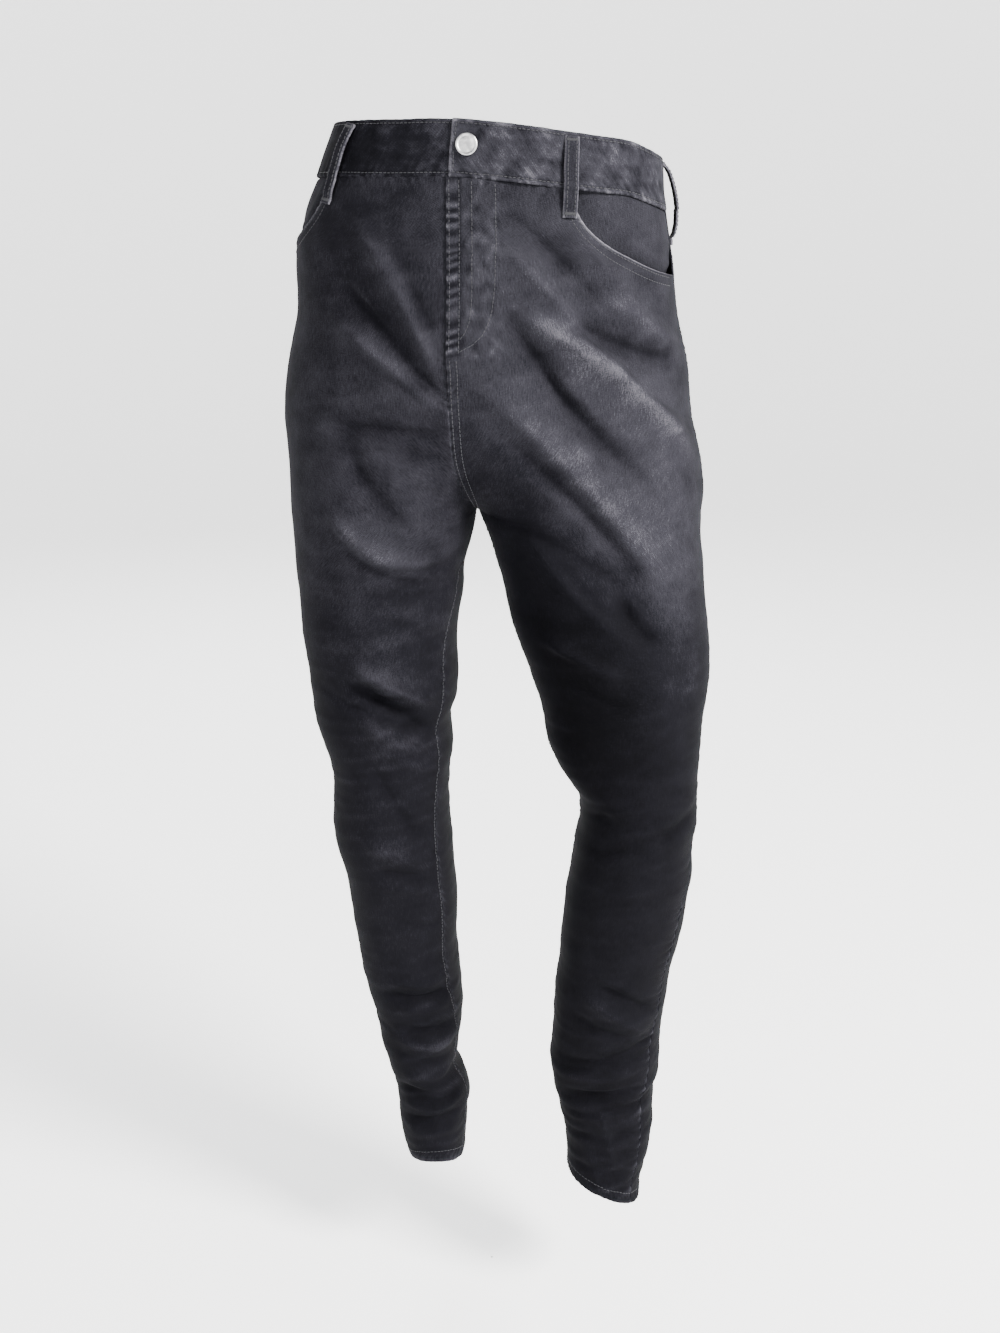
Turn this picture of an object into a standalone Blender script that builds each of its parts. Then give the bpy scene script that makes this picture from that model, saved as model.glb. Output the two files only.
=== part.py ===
"""Skinny jeans on no one: a hollow pair of worn jeans, waist at the origin, +Z up, front to -Y."""

import math

import bmesh
import bpy
import numpy as np
from mathutils import Matrix

MM = 0.001

# Sizes of the garment, in metres
WALL = 1.5 * MM                 # cloth of the legs
HEM_WALL = 2.6 * MM             # the turned-up end of a leg
BAND_WALL = 2.6 * MM            # waistband, two layers and its turnings
FACING_WALL = 1.2 * MM
FACING_DEPTH = 2.6 * MM         # how far the facing lies behind the front at the pocket edge
POCKET_WALL = 1.4 * MM
LOOP_WALL = 1.6 * MM
LOOP_WIDTH = 10.5 * MM
SEAM_GAP = 0.3 * MM             # between neighbouring pieces
HEM_DEPTH = 12.5 * MM

# Row heights that shape the pieces (before the rows are tilted)
BAND_TOP = 9.0 * MM
BAND_SEAM = -31.5 * MM
POCKET_DEPTH = 50.5 * MM
YOKE_SIDE = -74.3 * MM
YOKE_DROP = 32 * MM
YOKE_FADE = -165 * MM
CROTCH = -283 * MM
FRONT_CURVE = 80 * MM           # height over which the front rise bends into the crotch
BACK_CURVE = 115 * MM
HEM_RIGHT = -917 * MM
HEM_LEFT = -903 * MM
ANKLE = -790 * MM               # from here down the rows turn with the foot

RING_FULLNESS = 0.04            # how much squarer than an ellipse a section is
WAIST_ROLL = -0.115             # slope of the waist, lower at the wearer's left
WAIST_SADDLE = 7 * MM           # front and back of the waist stand higher than its sides
ROLL_END = -260 * MM

# Lap of the fly: the left front lies over the right front
FLY_LAP = 1.0 * MM
FLY_LIFT = 2.1 * MM
FLY_LAP_END = -150 * MM
FLY_SEAM_START = -168 * MM
FLY_LIFT_END = -198 * MM
FLY_WIDTH = 48 * MM             # width over which the lift fades

# The waistband and what sits on it
BAND_LIFT = 0.9 * MM            # height over the skin
BAND_LAP_LIFT = 3.0 * MM        # more where it laps over its own first end
UNDER_END = math.radians(7)
OVER_END_TOP = math.radians(-14.9)
OVER_END_SEAM = math.radians(-12.9)
LAP_FROM, LAP_FULL = math.radians(26), math.radians(10)
BUTTON_ANGLE = math.radians(-9.0)
BUTTON_HEIGHT = -9.0 * MM
POCKET_ROUND = 2.7              # 2 makes the opening a quarter of an ellipse, 1 a straight line
LIFT_END = -130 * MM

# How loops sit: seat on the band, seat on the legs below it, and the form of their arch
LOOP_SEAT = 0.39 * MM
LOOP_SEAT_BELOW = 0.25 * MM
LOOP_STEP = 2 * MM
LOOP_INSET = 3 * MM
LOOP_ARCH = 0.5
LOOP_FLAT, LOOP_FREE = 0.08, 0.88       # shares of a loop that lie flat below and stand free above

# How the hips pass into the legs: power of the blend, and the part of each end that meets the rise plane
BLEND_POWER = 4
END_REACH = 0.25
TOWARD_BACK = (0.3, 1.7)        # shares between which the front curve gives way to the back curve
HIP_ROLL_SHIFT = 0.14           # how far along X a tilted row takes its outline

# How folds fade: at their ends, where the cloth turns to the side, near the rise and below the waistband
FOLD_ENDS = (-0.12, 0.25)
FOLD_FACING = (0.15, 0.75)
RISE_CALM = 0.15
CALM_TOP, CALM_FULL, CALM_END = 110 * MM, 50 * MM, -40 * MM
BAND_CALM = 30 * MM

# Hip pocket facing: how far it reaches under the front, and how it tucks behind the edge
FACING_MARGIN = 0.09            # share of the front
FACING_DROP = 13 * MM
FACING_TUCK = 1.5
FACING_RISE = 2.0 * MM
TUCK_FROM, TUCK_FULL = 0.5, 0.95         # how near the opening's edge the facing sinks
RISE_FROM, RISE_FULL = 0.45, 0.15
FACING_GRID = 9
FACING_TIP = 0.9

# Back pocket: rows and columns of the back leg that it covers, its seat and its pointed bottom
POCKET_ROWS = (4, 10)
POCKET_COLUMNS = (3, 10)
POCKET_SEAT = 0.45 * MM
POCKET_POINT = (0.15, 0.75)

# Rows of the legs: turns (degrees) spread them round the pocket and round the curve of the crotch
POCKET_TURNS = (0, 20, 40, 58, 75, 90)
HIP_ROWS = (-98, -116, -134)             # mm
CURVE_TURNS = (90, 75, 60, 45, 30, 15)
THIGH_ROWS, ANKLE_ROWS = 22, 6
HEM_STEP = 1.0 * MM

# Where the dip of the waist, the tilt of the hems and the lifted edge of the fly begin and end
SADDLE_FROM, SADDLE_FULL = -150 * MM, -30 * MM
HEM_TILT_RANGE = 120 * MM
FLY_SHARE = (0.9, 0.7)

# Grid of the solids
FRONT_COLUMNS = 12
BACK_COLUMNS = 12
BAND_COLUMNS = 56
BAND_ROWS = 4
LOOP_ROWS = 11

# Colours and finish
DENIM = (0.055, 0.055, 0.064)
METAL = (0.62, 0.62, 0.64)

# Outline of the hips: z, x_right, x_left, y_front, y_back (mm)
TORSO = (
    (40, -118, 132, -82, 78),
    (19, -125, 134, -84, 80),
    (4, -131, 136, -86, 83),
    (-11, -136, 137, -88, 86),
    (-34, -146, 139, -91, 92),
    (-61, -156, 144, -95, 102),
    (-81, -158, 148, -97, 110),
    (-121, -159, 154, -100, 124),
    (-161, -168, 164, -101, 133),
    (-202, -173, 169, -102, 135),
    (-244, -170, 178, -101, 124),
    (-265, -169, 180, -100, 112),
    (-283, -168, 178, -99, 102),
)

# Right leg: z, x_out, x_in, y_front, y_back (mm)
RIGHT_LEG = (
    (-283, -168, -11, -99, 102),
    (-308, -166, -16, -98, 93),
    (-330, -165, -22, -97, 87),
    (-352, -163, -23, -95, 83),
    (-374, -162, -27, -94, 80),
    (-397, -160, -29, -92, 77),
    (-419, -157, -28, -90, 75),
    (-442, -155, -29, -88, 73),
    (-465, -152, -35, -86, 70),
    (-488, -145, -33, -84, 67),
    (-512, -139, -36, -81, 62),
    (-536, -139, -37, -79, 58),
    (-560, -140, -36, -76, 55),
    (-584, -137, -34, -73, 53),
    (-608, -131, -33, -68, 54),
    (-633, -128, -31, -62, 58),
    (-658, -126, -31, -57, 64),
    (-683, -123, -32, -52, 69),
    (-708, -120, -30, -49, 72),
    (-734, -115, -28, -46, 72),
    (-760, -108, -27, -43, 70),
    (-786, -104, -30, -41, 67),
    (-812, -97, -33, -39, 64),
    (-839, -90, -22, -38, 61),
    (-866, -88, -23, -38, 59),
    (-893, -85, -25, -38, 58),
    (-917, -78, -28, -38, 58),
)

# Left leg: z, x_out, x_in, y_front, y_back (mm)
LEFT_LEG = (
    (-283, 178, -11, -99, 102),
    (-306, 178, -1, -102, 92),
    (-326, 180, 5, -104, 84),
    (-345, 181, 11, -106, 76),
    (-365, 183, 15, -109, 68),
    (-385, 185, 21, -111, 61),
    (-405, 186, 29, -113, 54),
    (-427, 185, 37, -115, 47),
    (-449, 181, 44, -118, 39),
    (-472, 179, 48, -121, 31),
    (-494, 177, 58, -124, 24),
    (-517, 176, 74, -126, 18),
    (-540, 176, 77, -126, 13),
    (-563, 173, 73, -125, 10),
    (-587, 174, 70, -123, 8),
    (-610, 171, 66, -119, 8),
    (-634, 169, 64, -115, 10),
    (-659, 165, 62, -110, 13),
    (-683, 160, 61, -105, 17),
    (-708, 158, 58, -101, 20),
    (-733, 155, 57, -98, 21),
    (-758, 153, 56, -96, 19),
    (-783, 153, 54, -94, 15),
    (-809, 148, 58, -92, 9),
    (-835, 148, 63, -92, 3),
    (-861, 144, 68, -93, -2),
    (-887, 137, 70, -94, -6),
    (-914, 137, 72, -94, -8),
)

# The waist stands higher than its even slope at the wearer's left: x, lift (mm)
WAIST_LIFT = (
    (160, 5),
    (135, 6),
    (105, 9),
    (85, 7.5),
    (40, 5),
    (0, 4),
    (-32, 3),
    (-70, 0),
    (-200, 0),
)

# Where the seams lie: z, front rise x, back rise x (mm)
RISE_SEAM = (
    (40, -31, 31),
    (-32, -31, 30),
    (-100, -31, 24),
    (-200, -31, 8),
    (-240, -27, -1),
    (-265, -19, -7),
    (-283, -11, -11),
)

# Angle of each side seam and inseam, from the front round to +X:
# z (mm), side seam right, inseam right, side seam left, inseam left (degrees)
SEAM_ANGLE = (
    (40, -108, 90, 80, -90),
    (-32, -108, 90, 80, -90),
    (-200, -102, 90, 83, -90),
    (-283, -96, 90, 87, -90),
    (-330, -108, 70, 88, -80),
    (-400, -123, 56, 85, -78),
    (-460, -127, 53, 80, -80),
    (-510, -127, 53, 76, -92),
    (-570, -131, 49, 64, -104),
    (-640, -132, 48, 49, -120),
    (-710, -130, 50, 49, -124),
    (-760, -122, 59, 46, -125),
    (-800, -112, 68, 42, -128),
    (-930, -112, 68, 42, -128),
)

# Folds seen from the front: x1, z1, x2, z2, sag, width, depth (mm); a ridge stands out, a trough is below 0
FRONT_FOLDS = (
    (-100, -53, -38, -180, 4, 16, 4),
    (-115, -97, -34, -188, 4, 13, -6),
    (-118, -127, -34, -201, 3, 12, 5),
    (-72, -72, -46, -133, 0, 10, -3),
    (-125, -207, -40, -212, 4, 10, -4),
    (-70, -224, -19, -237, 2, 9, -3),
    (-113, -219, -62, -282, -8, 12, -4),
    (-127, -273, -42, -319, -13, 13, 4),
    (-96, -313, -33, -319, -4, 9, -3),
    (-90, -334, -35, -340, -4, 10, -3),
    (-112, -400, -48, -436, 0, 12, 5),
    (-115, -414, -54, -459, 2, 10, -6),
    (-106, -444, -55, -478, -4, 12, 4),
    (-101, -487, -60, -567, 0, 14, -3),
    (-108, -561, -61, -582, 0, 13, 3),
    (-101, -592, -58, -600, 4, 10, -3),
    (-94, -718, -34, -719, -4, 10, -3),
    (-86, -753, -30, -753, -5, 10, -3),
    (-88, -762, -28, -772, -7, 10, 3),
    (-81, -824, -21, -827, -8, 10, -3),
    (-80, -853, -23, -848, -2, 9, -3),
    (18, -114, 172, -235, 9, 14, 6),
    (55, -120, 150, -158, -4, 11, -5),
    (78, -105, 150, -147, 3, 12, 4),
    (12, -118, 125, -250, -6, 13, -6),
    (-9, -172, 131, -325, 8, 16, 5),
    (5, -209, 128, -337, 9, 14, -5),
    (35, -297, 112, -372, -6, 11, 3),
    (48, -374, 105, -408, 0, 11, 4),
    (103, -337, 138, -378, -6, 12, -5),
    (67, -538, 100, -518, 0, 10, -3),
    (169, -523, 136, -541, 0, 10, -3),
    (80, -693, 137, -730, 0, 12, 4),
    (93, -680, 141, -711, 0, 9, -3),
    (147, -738, 60, -765, -5, 10, -3),
    (62, -803, 130, -787, 0, 10, -3),
    (97, -808, 110, -865, 0, 9, 2),
)

# Folds of the hidden back, alike in kind: the same columns
BACK_FOLDS = (
    (8, -110, -2, -262, 0, 20, -6),
    (-150, -262, -45, -284, -6, 14, -5),
    (-142, -286, -50, -306, -5, 13, 4),
    (150, -268, 40, -284, -6, 14, -5),
    (148, -292, 45, -306, -5, 13, 4),
    (-132, -545, -45, -556, -5, 12, -4),
    (-134, -566, -42, -580, -4, 12, 4),
    (-130, -592, -42, -602, -3, 12, -4),
    (168, -500, 85, -520, -5, 12, -5),
    (170, -524, 82, -540, -4, 12, 4),
    (168, -552, 78, -566, -3, 12, -4),
    (-112, -690, -36, -704, -4, 12, -3),
    (-100, -772, -34, -780, -4, 10, -3),
    (-90, -838, -28, -842, -3, 10, -3),
    (150, -700, 66, -716, -4, 12, -3),
    (146, -782, 64, -792, -4, 10, -3),
    (138, -846, 72, -850, -3, 10, -3),
)

SIDE = {"right": -1.0, "left": 1.0}
HEM_TILT = {"right": (0.0, -0.42), "left": (-0.42, -0.12)}     # slope along X and Y
POCKET_ANGLE = {"right": -60, "left": 25.0}                    # where the opening starts at the waistband

# Belt loops: angle from the front (degrees), stand-off and length below the waistband seam (mm)
LOOPS = {
    "front_right": (-56, 3.0, 20),
    "front_left": (24.3, 3.0, 22),
    "side_right": (-128, 3.0, 20),
    "side_left": (93, 8.5, 28),
    "back": (167, 3.0, 20),
}

BUTTON_SIDES = 28
BUTTON_ROUGHNESS = 0.32

# Button: radius, height (mm) from the cloth outwards
BUTTON_PROFILE = (
    (0, 0), (3.4, 0), (3.4, 1.3), (7.8, 1.5), (8.2, 2.1), (7.8, 3.0), (6.4, 3.3), (5.8, 3.0), (0, 3.2),
)


def column(table, number):
    """One column of a table, lowest z first, in metres where it is a length."""
    return np.array([row[number] for row in reversed(table)], dtype=float)


def smooth(table, number, z, unit=MM):
    """Value of a column at height z, by a smooth curve through the rows."""
    heights = column(table, 0) * MM
    values = column(table, number) * unit
    slopes = np.gradient(values, heights)
    low = np.clip(np.searchsorted(heights, z) - 1, 0, len(heights) - 2)
    span = heights[low + 1] - heights[low]
    t = np.clip((z - heights[low]) / span, 0.0, 1.0)
    rise = values[low + 1] - values[low]
    start = slopes[low] * span
    finish = slopes[low + 1] * span
    return values[low] + start * t + (3 * rise - 2 * start - finish) * t ** 2 + (start + finish - 2 * rise) * t ** 3


def ramp(value, start, finish):
    """0 at start, 1 at finish, with soft ends."""
    t = np.clip((value - start) / (finish - start), 0.0, 1.0)
    return t * t * (3 - 2 * t)


def ring(x_low, x_high, y_front, y_back, angle):
    """Point of a horizontal section at an angle from the front round to +X."""
    fullness = 1 + RING_FULLNESS * np.sin(2 * angle) ** 2
    x = (x_low + x_high) / 2 + (x_high - x_low) / 2 * np.sin(angle) * fullness
    y = (y_front + y_back) / 2 - (y_back - y_front) / 2 * np.cos(angle) * fullness
    return x, y


def rise_angle(x_low, x_high, seam_x):
    """Angle at which the section meets the rise seam at the front."""
    share = (seam_x - (x_low + x_high) / 2) / ((x_high - x_low) / 2)
    angle = np.arcsin(np.clip(share, -1, 1))
    for _ in range(3):
        angle = np.arcsin(np.clip(share / (1 + RING_FULLNESS * np.sin(2 * angle) ** 2), -1, 1))
    return angle


def hips(z):
    """Outline of the hips at height z, allowing for the tilt of the rows."""
    roll = waist_roll(z)
    x_right = smooth(TORSO, 1, z - roll * HIP_ROLL_SHIFT)
    x_left = smooth(TORSO, 2, z + roll * HIP_ROLL_SHIFT)
    return x_right, x_left, smooth(TORSO, 3, z), smooth(TORSO, 4, z)


def waist_roll(z):
    return WAIST_ROLL * np.clip((z - ROLL_END) / (BAND_SEAM - ROLL_END), 0.0, 1.1)


def fly_lap(z):
    """How far the left front reaches over the right front."""
    return FLY_LAP * ramp(z, FLY_SEAM_START, FLY_LAP_END)


def fly_lift(z, x, k):
    """How far the lapped edge stands off the right front."""
    beside = x - smooth(RISE_SEAM, 1, z)
    return FLY_LIFT * ramp(z, FLY_LIFT_END, FLY_SEAM_START) * ramp(beside, FLY_WIDTH, FLY_WIDTH / 2) * ramp(k, *FLY_SHARE)


def reach(x_low, x_high, y_front, y_back, from_x, from_y, turn):
    """Distance from an inner point to the section along a direction from the front round to +X."""
    half_x, half_y = (x_high - x_low) / 2, (y_back - y_front) / 2
    start_x, start_y = from_x - (x_low + x_high) / 2, from_y - (y_front + y_back) / 2
    go_x, go_y = np.sin(turn), -np.cos(turn)
    fullness = 1.0
    for _ in range(5):
        wide, deep = half_x * fullness, half_y * fullness
        square = (go_x / wide) ** 2 + (go_y / deep) ** 2
        cross = go_x * start_x / wide ** 2 + go_y * start_y / deep ** 2
        rest = (start_x / wide) ** 2 + (start_y / deep) ** 2 - 1
        distance = (-cross + np.sqrt(np.maximum(cross ** 2 - square * rest, 0.0))) / square
        angle = np.arctan2((start_x + distance * go_x) / half_x, -(start_y + distance * go_y) / half_y)
        fullness = 1 + RING_FULLNESS * np.sin(2 * angle) ** 2
    return distance


def direction(sign, from_x, from_y, x, y, whole):
    """Direction from the front round to the outer side, kept growing past the back."""
    turn = np.arctan2(sign * (x - from_x), -(y - from_y))
    return sign * np.where(turn < whole, turn + 2 * math.pi, turn)


def section(side, z):
    """All that shapes one half at height z: its rings, its middle and the ends and side of its cloth."""
    sign = SIDE[side]
    hip = hips(z)
    gap = sign * SEAM_GAP / 2
    front_x = smooth(RISE_SEAM, 1, z) + gap
    back_x = smooth(RISE_SEAM, 2, z) + gap
    edge_x = front_x - (fly_lap(z) if side == "left" else 0.0)
    number = 1 if side == "right" else 3
    side_angle = smooth(SEAM_ANGLE, number, z, math.pi / 180)
    inner_angle = smooth(SEAM_ANGLE, number + 1, z, math.pi / 180)

    table = RIGHT_LEG if side == "right" else LEFT_LEG
    above = z > CROTCH
    outer = np.where(above, hip[0] if side == "right" else hip[1], smooth(table, 1, z))
    inner = np.where(above, (front_x + back_x) / 2, smooth(table, 2, z) + gap)
    leg = (np.minimum(outer, inner), np.maximum(outer, inner),
           np.where(above, hip[2], smooth(table, 3, z)), np.where(above, hip[3], smooth(table, 4, z)))
    middle_x, middle_y = (outer + inner) / 2, (leg[2] + leg[3]) / 2

    height = np.maximum(z - CROTCH, 0.0)
    front_share = np.sqrt(1 - (1 - np.minimum(height / FRONT_CURVE, 1)) ** 2)
    back_share = np.sqrt(1 - (1 - np.minimum(height / BACK_CURVE, 1)) ** 2)
    _, front_y = ring(*hip, rise_angle(hip[0], hip[1], edge_x))
    _, back_y = ring(*hip, math.pi - rise_angle(hip[0], hip[1], back_x))
    first = direction(sign, middle_x, middle_y, edge_x, middle_y + (front_y - middle_y) * front_share, -9.0)
    last = direction(sign, middle_x, middle_y, back_x, middle_y + (back_y - middle_y) * back_share, 0.0)
    hip_side = direction(sign, middle_x, middle_y, *ring(*hip, side_angle), 0.0)
    leg_side = direction(sign, middle_x, middle_y, *ring(*leg, side_angle), 0.0)
    leg_inner = direction(sign, middle_x, middle_y, *ring(*leg, inner_angle), -9.0)
    leg_last = leg_inner + sign * 2 * math.pi
    first = np.where(above, first, leg_inner)
    last = np.where(above, last, leg_last)
    half = np.where(above, leg_side + (hip_side - leg_side) * np.minimum(height / FRONT_CURVE, 1), leg_side)
    shift_first = 3 - 2 * np.minimum(height / FRONT_CURVE, 1)
    shift_last = 3 - 2 * np.minimum(height / BACK_CURVE, 1)
    turns = {"first": first, "half": half, "last": last, "leg_first": leg_inner, "leg_last": leg_last,
             "shift_first": shift_first, "shift_last": shift_last}
    return sign, hip, leg, (middle_x, middle_y), turns, (front_share, back_share), (edge_x, back_x)


def turn_at(k, turns):
    """Direction of k; near the crotch only the cloth beside the rise seam moves over to it."""
    to_first = np.maximum(1 - k, 0.0)
    to_last = np.maximum(k - 1, 0.0)
    front = turns["half"] + (turns["leg_first"] - turns["half"]) * (1 - k)
    back = turns["half"] + (turns["leg_last"] - turns["half"]) * (k - 1)
    front = front + (turns["first"] - turns["leg_first"]) * to_first ** turns["shift_first"]
    back = back + (turns["last"] - turns["leg_last"]) * to_last ** turns["shift_last"]
    return np.where(k < 1, front, back)


def bare_skin(side, k, z):
    """Outer face of one half without folds: k = 0 front rise or inseam, 1 side seam, 2 back rise or inseam."""
    sign, hip, leg, middle, turns, shares, planes = section(side, z)
    turn = turn_at(k, turns)
    to_hip = reach(*hip, *middle, turn)
    to_leg = reach(*leg, *middle, turn)
    toward_back = ramp(k, *TOWARD_BACK)
    share = shares[0] * (1 - toward_back) + shares[1] * toward_back
    distance = to_leg + (to_hip - to_leg) * share ** BLEND_POWER
    for end, plane, part_share, near in ((turns["first"], planes[0], shares[0], k),
                                         (turns["last"], planes[1], shares[1], 2 - k)):
        to_plane = (plane - middle[0]) / np.where(np.abs(np.sin(end)) < 1e-6, 1e-6, np.sin(end))
        hip_end, leg_end = reach(*hip, *middle, end), reach(*leg, *middle, end)
        short = to_plane - (leg_end + (hip_end - leg_end) * part_share ** BLEND_POWER)
        distance = distance + np.where(z > CROTCH, short * np.clip(1 - near / END_REACH, 0, 1.1) ** 2, 0.0)
    x = middle[0] + distance * np.sin(turn)
    y = middle[1] - distance * np.cos(turn)

    across = (x - (hip[0] + hip[1]) / 2) / ((hip[1] - hip[0]) / 2)
    saddle = WAIST_SADDLE * (1 - np.clip(across, -1, 1) ** 2) * ramp(z, SADDLE_FROM, SADDLE_FULL)
    ankle = ramp(z, ANKLE, ANKLE - HEM_TILT_RANGE)
    roll, pitch = HEM_TILT[side]
    tilt = ankle * (roll * (x - middle[0]) + pitch * (y - middle[1]))
    lift = smooth(WAIST_LIFT, 1, x) * ramp(z, LIFT_END, BAND_SEAM)
    return np.stack([x, y, z + waist_roll(z) * x + saddle + lift + tilt], axis=-1)


def facing_out(surface, side, k, z):
    """Outward direction of a surface of k and z."""
    step_k = 2e-4
    step_z = 5e-5
    top = np.where(z > CROTCH + step_z, z + step_z, z)
    along = surface(side, k + step_k, z) - surface(side, k - step_k, z)
    down = surface(side, k, z - step_z) - surface(side, k, top)
    out = np.cross(down, along) * SIDE[side]
    return out / np.maximum(np.linalg.norm(out, axis=-1, keepdims=True), 1e-12)


def fold_depth(points, folds):
    """Height of all folds of a table at points, seen along Y."""
    total = np.zeros(points.shape[:-1])
    for row in folds:
        x1, z1, x2, z2, sag, width, depth = (value * MM for value in row)
        length = math.hypot(x2 - x1, z2 - z1)
        along_x, along_z = (x2 - x1) / length, (z2 - z1) / length
        dx, dz = points[..., 0] - x1, points[..., 2] - z1
        t = (dx * along_x + dz * along_z) / length
        across = -dx * along_z + dz * along_x
        if along_x < 0:
            across = -across
        inside = np.clip(t, 0, 1)
        across = across - sag * 4 * inside * (1 - inside)
        ends = ramp(t, *FOLD_ENDS) * ramp(1 - t, *FOLD_ENDS)
        total += depth * ends * np.exp(-(across / width) ** 2)
    return total


def skin(side, k, z):
    """Outer face of one half with its folds and the lifted edge of the fly."""
    points = bare_skin(side, k, z)
    out = facing_out(bare_skin, side, k, z)
    front = ramp(-out[..., 1], *FOLD_FACING) * fold_depth(points, FRONT_FOLDS)
    back = ramp(out[..., 1], *FOLD_FACING) * fold_depth(points, BACK_FOLDS)
    near_rise = np.exp(-(k / RISE_CALM) ** 2) + np.exp(-((2 - k) / RISE_CALM) ** 2)
    crotch = ramp(z, CROTCH + CALM_TOP, CROTCH + CALM_FULL) * ramp(z, CROTCH + CALM_END, CROTCH)
    below_band = ramp(z, BAND_SEAM, BAND_SEAM - BAND_CALM)
    moved = (front + back) * (1 - np.clip(near_rise, 0, 1) * crotch) * below_band
    if side == "left":
        moved = moved + fly_lift(z, points[..., 0], k)
    return points + out * moved[..., None]


def skin_and_out(side, k, z):
    k = np.asarray(k, dtype=float)
    z = np.asarray(z, dtype=float)
    return skin(side, k, z), facing_out(skin, side, k, z)


# Solids from grids of points

def solid(name, outer, inner, colour, metal=0.0, rough=0.9):
    """Closed cloth solid between two grids of the same size."""
    rows, columns = outer.shape[:2]
    mesh = bpy.data.meshes.new(name)
    build = bmesh.new()
    top = [[build.verts.new(outer[r, c]) for c in range(columns)] for r in range(rows)]
    low = [[build.verts.new(inner[r, c]) for c in range(columns)] for r in range(rows)]
    for r in range(rows - 1):
        for c in range(columns - 1):
            for grid in (top, low):
                build.faces.new((grid[r][c], grid[r][c + 1], grid[r + 1][c + 1]))
                build.faces.new((grid[r][c], grid[r + 1][c + 1], grid[r + 1][c]))
    edge = [(0, c) for c in range(columns)] + [(r, columns - 1) for r in range(1, rows)]
    edge += [(rows - 1, c) for c in range(columns - 2, -1, -1)] + [(r, 0) for r in range(rows - 2, 0, -1)]
    for first, second in zip(edge, edge[1:] + edge[:1]):
        build.faces.new((top[first[0]][first[1]], low[first[0]][first[1]],
                         low[second[0]][second[1]], top[second[0]][second[1]]))
    bmesh.ops.triangulate(build, faces=build.faces[:])
    bmesh.ops.recalc_face_normals(build, faces=build.faces[:])
    build.to_mesh(mesh)
    build.free()
    part = bpy.data.objects.new(name, mesh)
    part.data.materials.append(material(name, colour, metal, rough))
    PARTS.objects.link(part)
    return part


def material(name, colour, metal, rough):
    paint = bpy.data.materials.new(name + "_paint")
    paint.use_nodes = True
    shader = paint.node_tree.nodes["Principled BSDF"]
    shader.inputs["Base Color"].default_value = (*colour, 1.0)
    shader.inputs["Metallic"].default_value = metal
    shader.inputs["Roughness"].default_value = rough
    return paint


def trim(points, edges):
    """Pull the named edges of a grid in by half a seam gap."""
    moved = points.copy()
    pull = {"top": (np.s_[0], np.s_[1]), "bottom": (np.s_[-1], np.s_[-2]),
            "first": (np.s_[:, 0], np.s_[:, 1]), "last": (np.s_[:, -1], np.s_[:, -2])}
    for edge in edges:
        at, toward = pull[edge]
        step = points[toward] - points[at]
        moved[at] += step / np.linalg.norm(step, axis=-1, keepdims=True) * SEAM_GAP / 2
    return moved


def leg_rows(side, first):
    """Heights of the rows of a leg, close together at the pocket, the crotch and the hem."""
    pocket = [BAND_SEAM - POCKET_DEPTH * math.sin(math.radians(turn)) for turn in POCKET_TURNS]
    pocket[3] = YOKE_SIDE
    hip = [height * MM for height in HIP_ROWS] + [FLY_LAP_END]
    curve = [CROTCH + BACK_CURVE * (1 - math.cos(math.radians(turn))) for turn in CURVE_TURNS]
    thigh = list(np.linspace(CROTCH, ANKLE, THIGH_ROWS))
    hem = HEM_RIGHT if side == "right" else HEM_LEFT
    ankle = list(np.linspace(ANKLE, hem + HEM_DEPTH, ANKLE_ROWS))[1:]
    rows = pocket + hip + curve + thigh + ankle + [hem + HEM_DEPTH - HEM_STEP, hem]
    return np.array(rows[first:])


def pocket_start(side):
    """Share of the front, at the waistband, where the pocket opening starts."""
    z = np.array(BAND_SEAM)
    sign, hip, _, middle, turns, _, _ = section(side, z)
    x, y = ring(*hip, math.radians(POCKET_ANGLE[side]))
    turn = direction(sign, *middle, x, y, -9.0)
    return float((turn - turns["first"]) / (turns["half"] - turns["first"]))


def opening_share(down):
    """Width of the pocket opening, from 1 at the waistband to 0 at its lowest point."""
    return (1 - down ** POCKET_ROUND) ** (1 / POCKET_ROUND)


def pocket_edge(side, z):
    """Share of the front that is left beside the pocket opening."""
    down = np.clip((BAND_SEAM - z) / POCKET_DEPTH, 0.0, 1.0)
    return 1 - (1 - pocket_start(side)) * opening_share(down)


def toward_edge(side, k, z):
    """0 at the corner of waistband and side seam, 1 on the edge of the opening, more under the front."""
    across = (1 - k) / (1 - pocket_start(side))
    down = np.clip((BAND_SEAM - z) / POCKET_DEPTH, 0.0, None)
    return across ** POCKET_ROUND + down ** POCKET_ROUND


def leg_wall(rows):
    wall = np.full(len(rows), WALL)
    wall[-2:] = HEM_WALL
    return wall[:, None, None]


def hem_swell(rows):
    """The turned-up hem is a little thicker on the outside too."""
    swell = np.zeros(len(rows))
    swell[-2:] = (HEM_WALL - WALL) / 2
    return swell[:, None, None]


def front_leg(side):
    rows = leg_rows(side, 0)
    z = np.repeat(rows[:, None], FRONT_COLUMNS + 1, axis=1)
    k = np.linspace(0, 1, FRONT_COLUMNS + 1)[None, :] * pocket_edge(side, rows)[:, None]
    points, out = skin_and_out(side, k, z)
    trimmed = trim(points, ["top", "last"])
    below = rows <= CROTCH
    trimmed[below] = trim(points, ["first", "last"])[below]
    outer = trimmed + out * hem_swell(rows)
    solid("front_" + side, outer, outer - out * leg_wall(rows), DENIM)


def back_grid(side, first, last):
    rows = leg_rows(side, 0)[first:last]
    k = np.repeat(np.linspace(1, 2, BACK_COLUMNS + 1)[None, :], len(rows), axis=0)
    drop = np.interp(rows, [YOKE_FADE, YOKE_SIDE, BAND_SEAM], [0.0, 1.0, 0.0])
    z = rows[:, None] - YOKE_DROP * drop[:, None] * (k - 1)
    return rows, k, z


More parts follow.
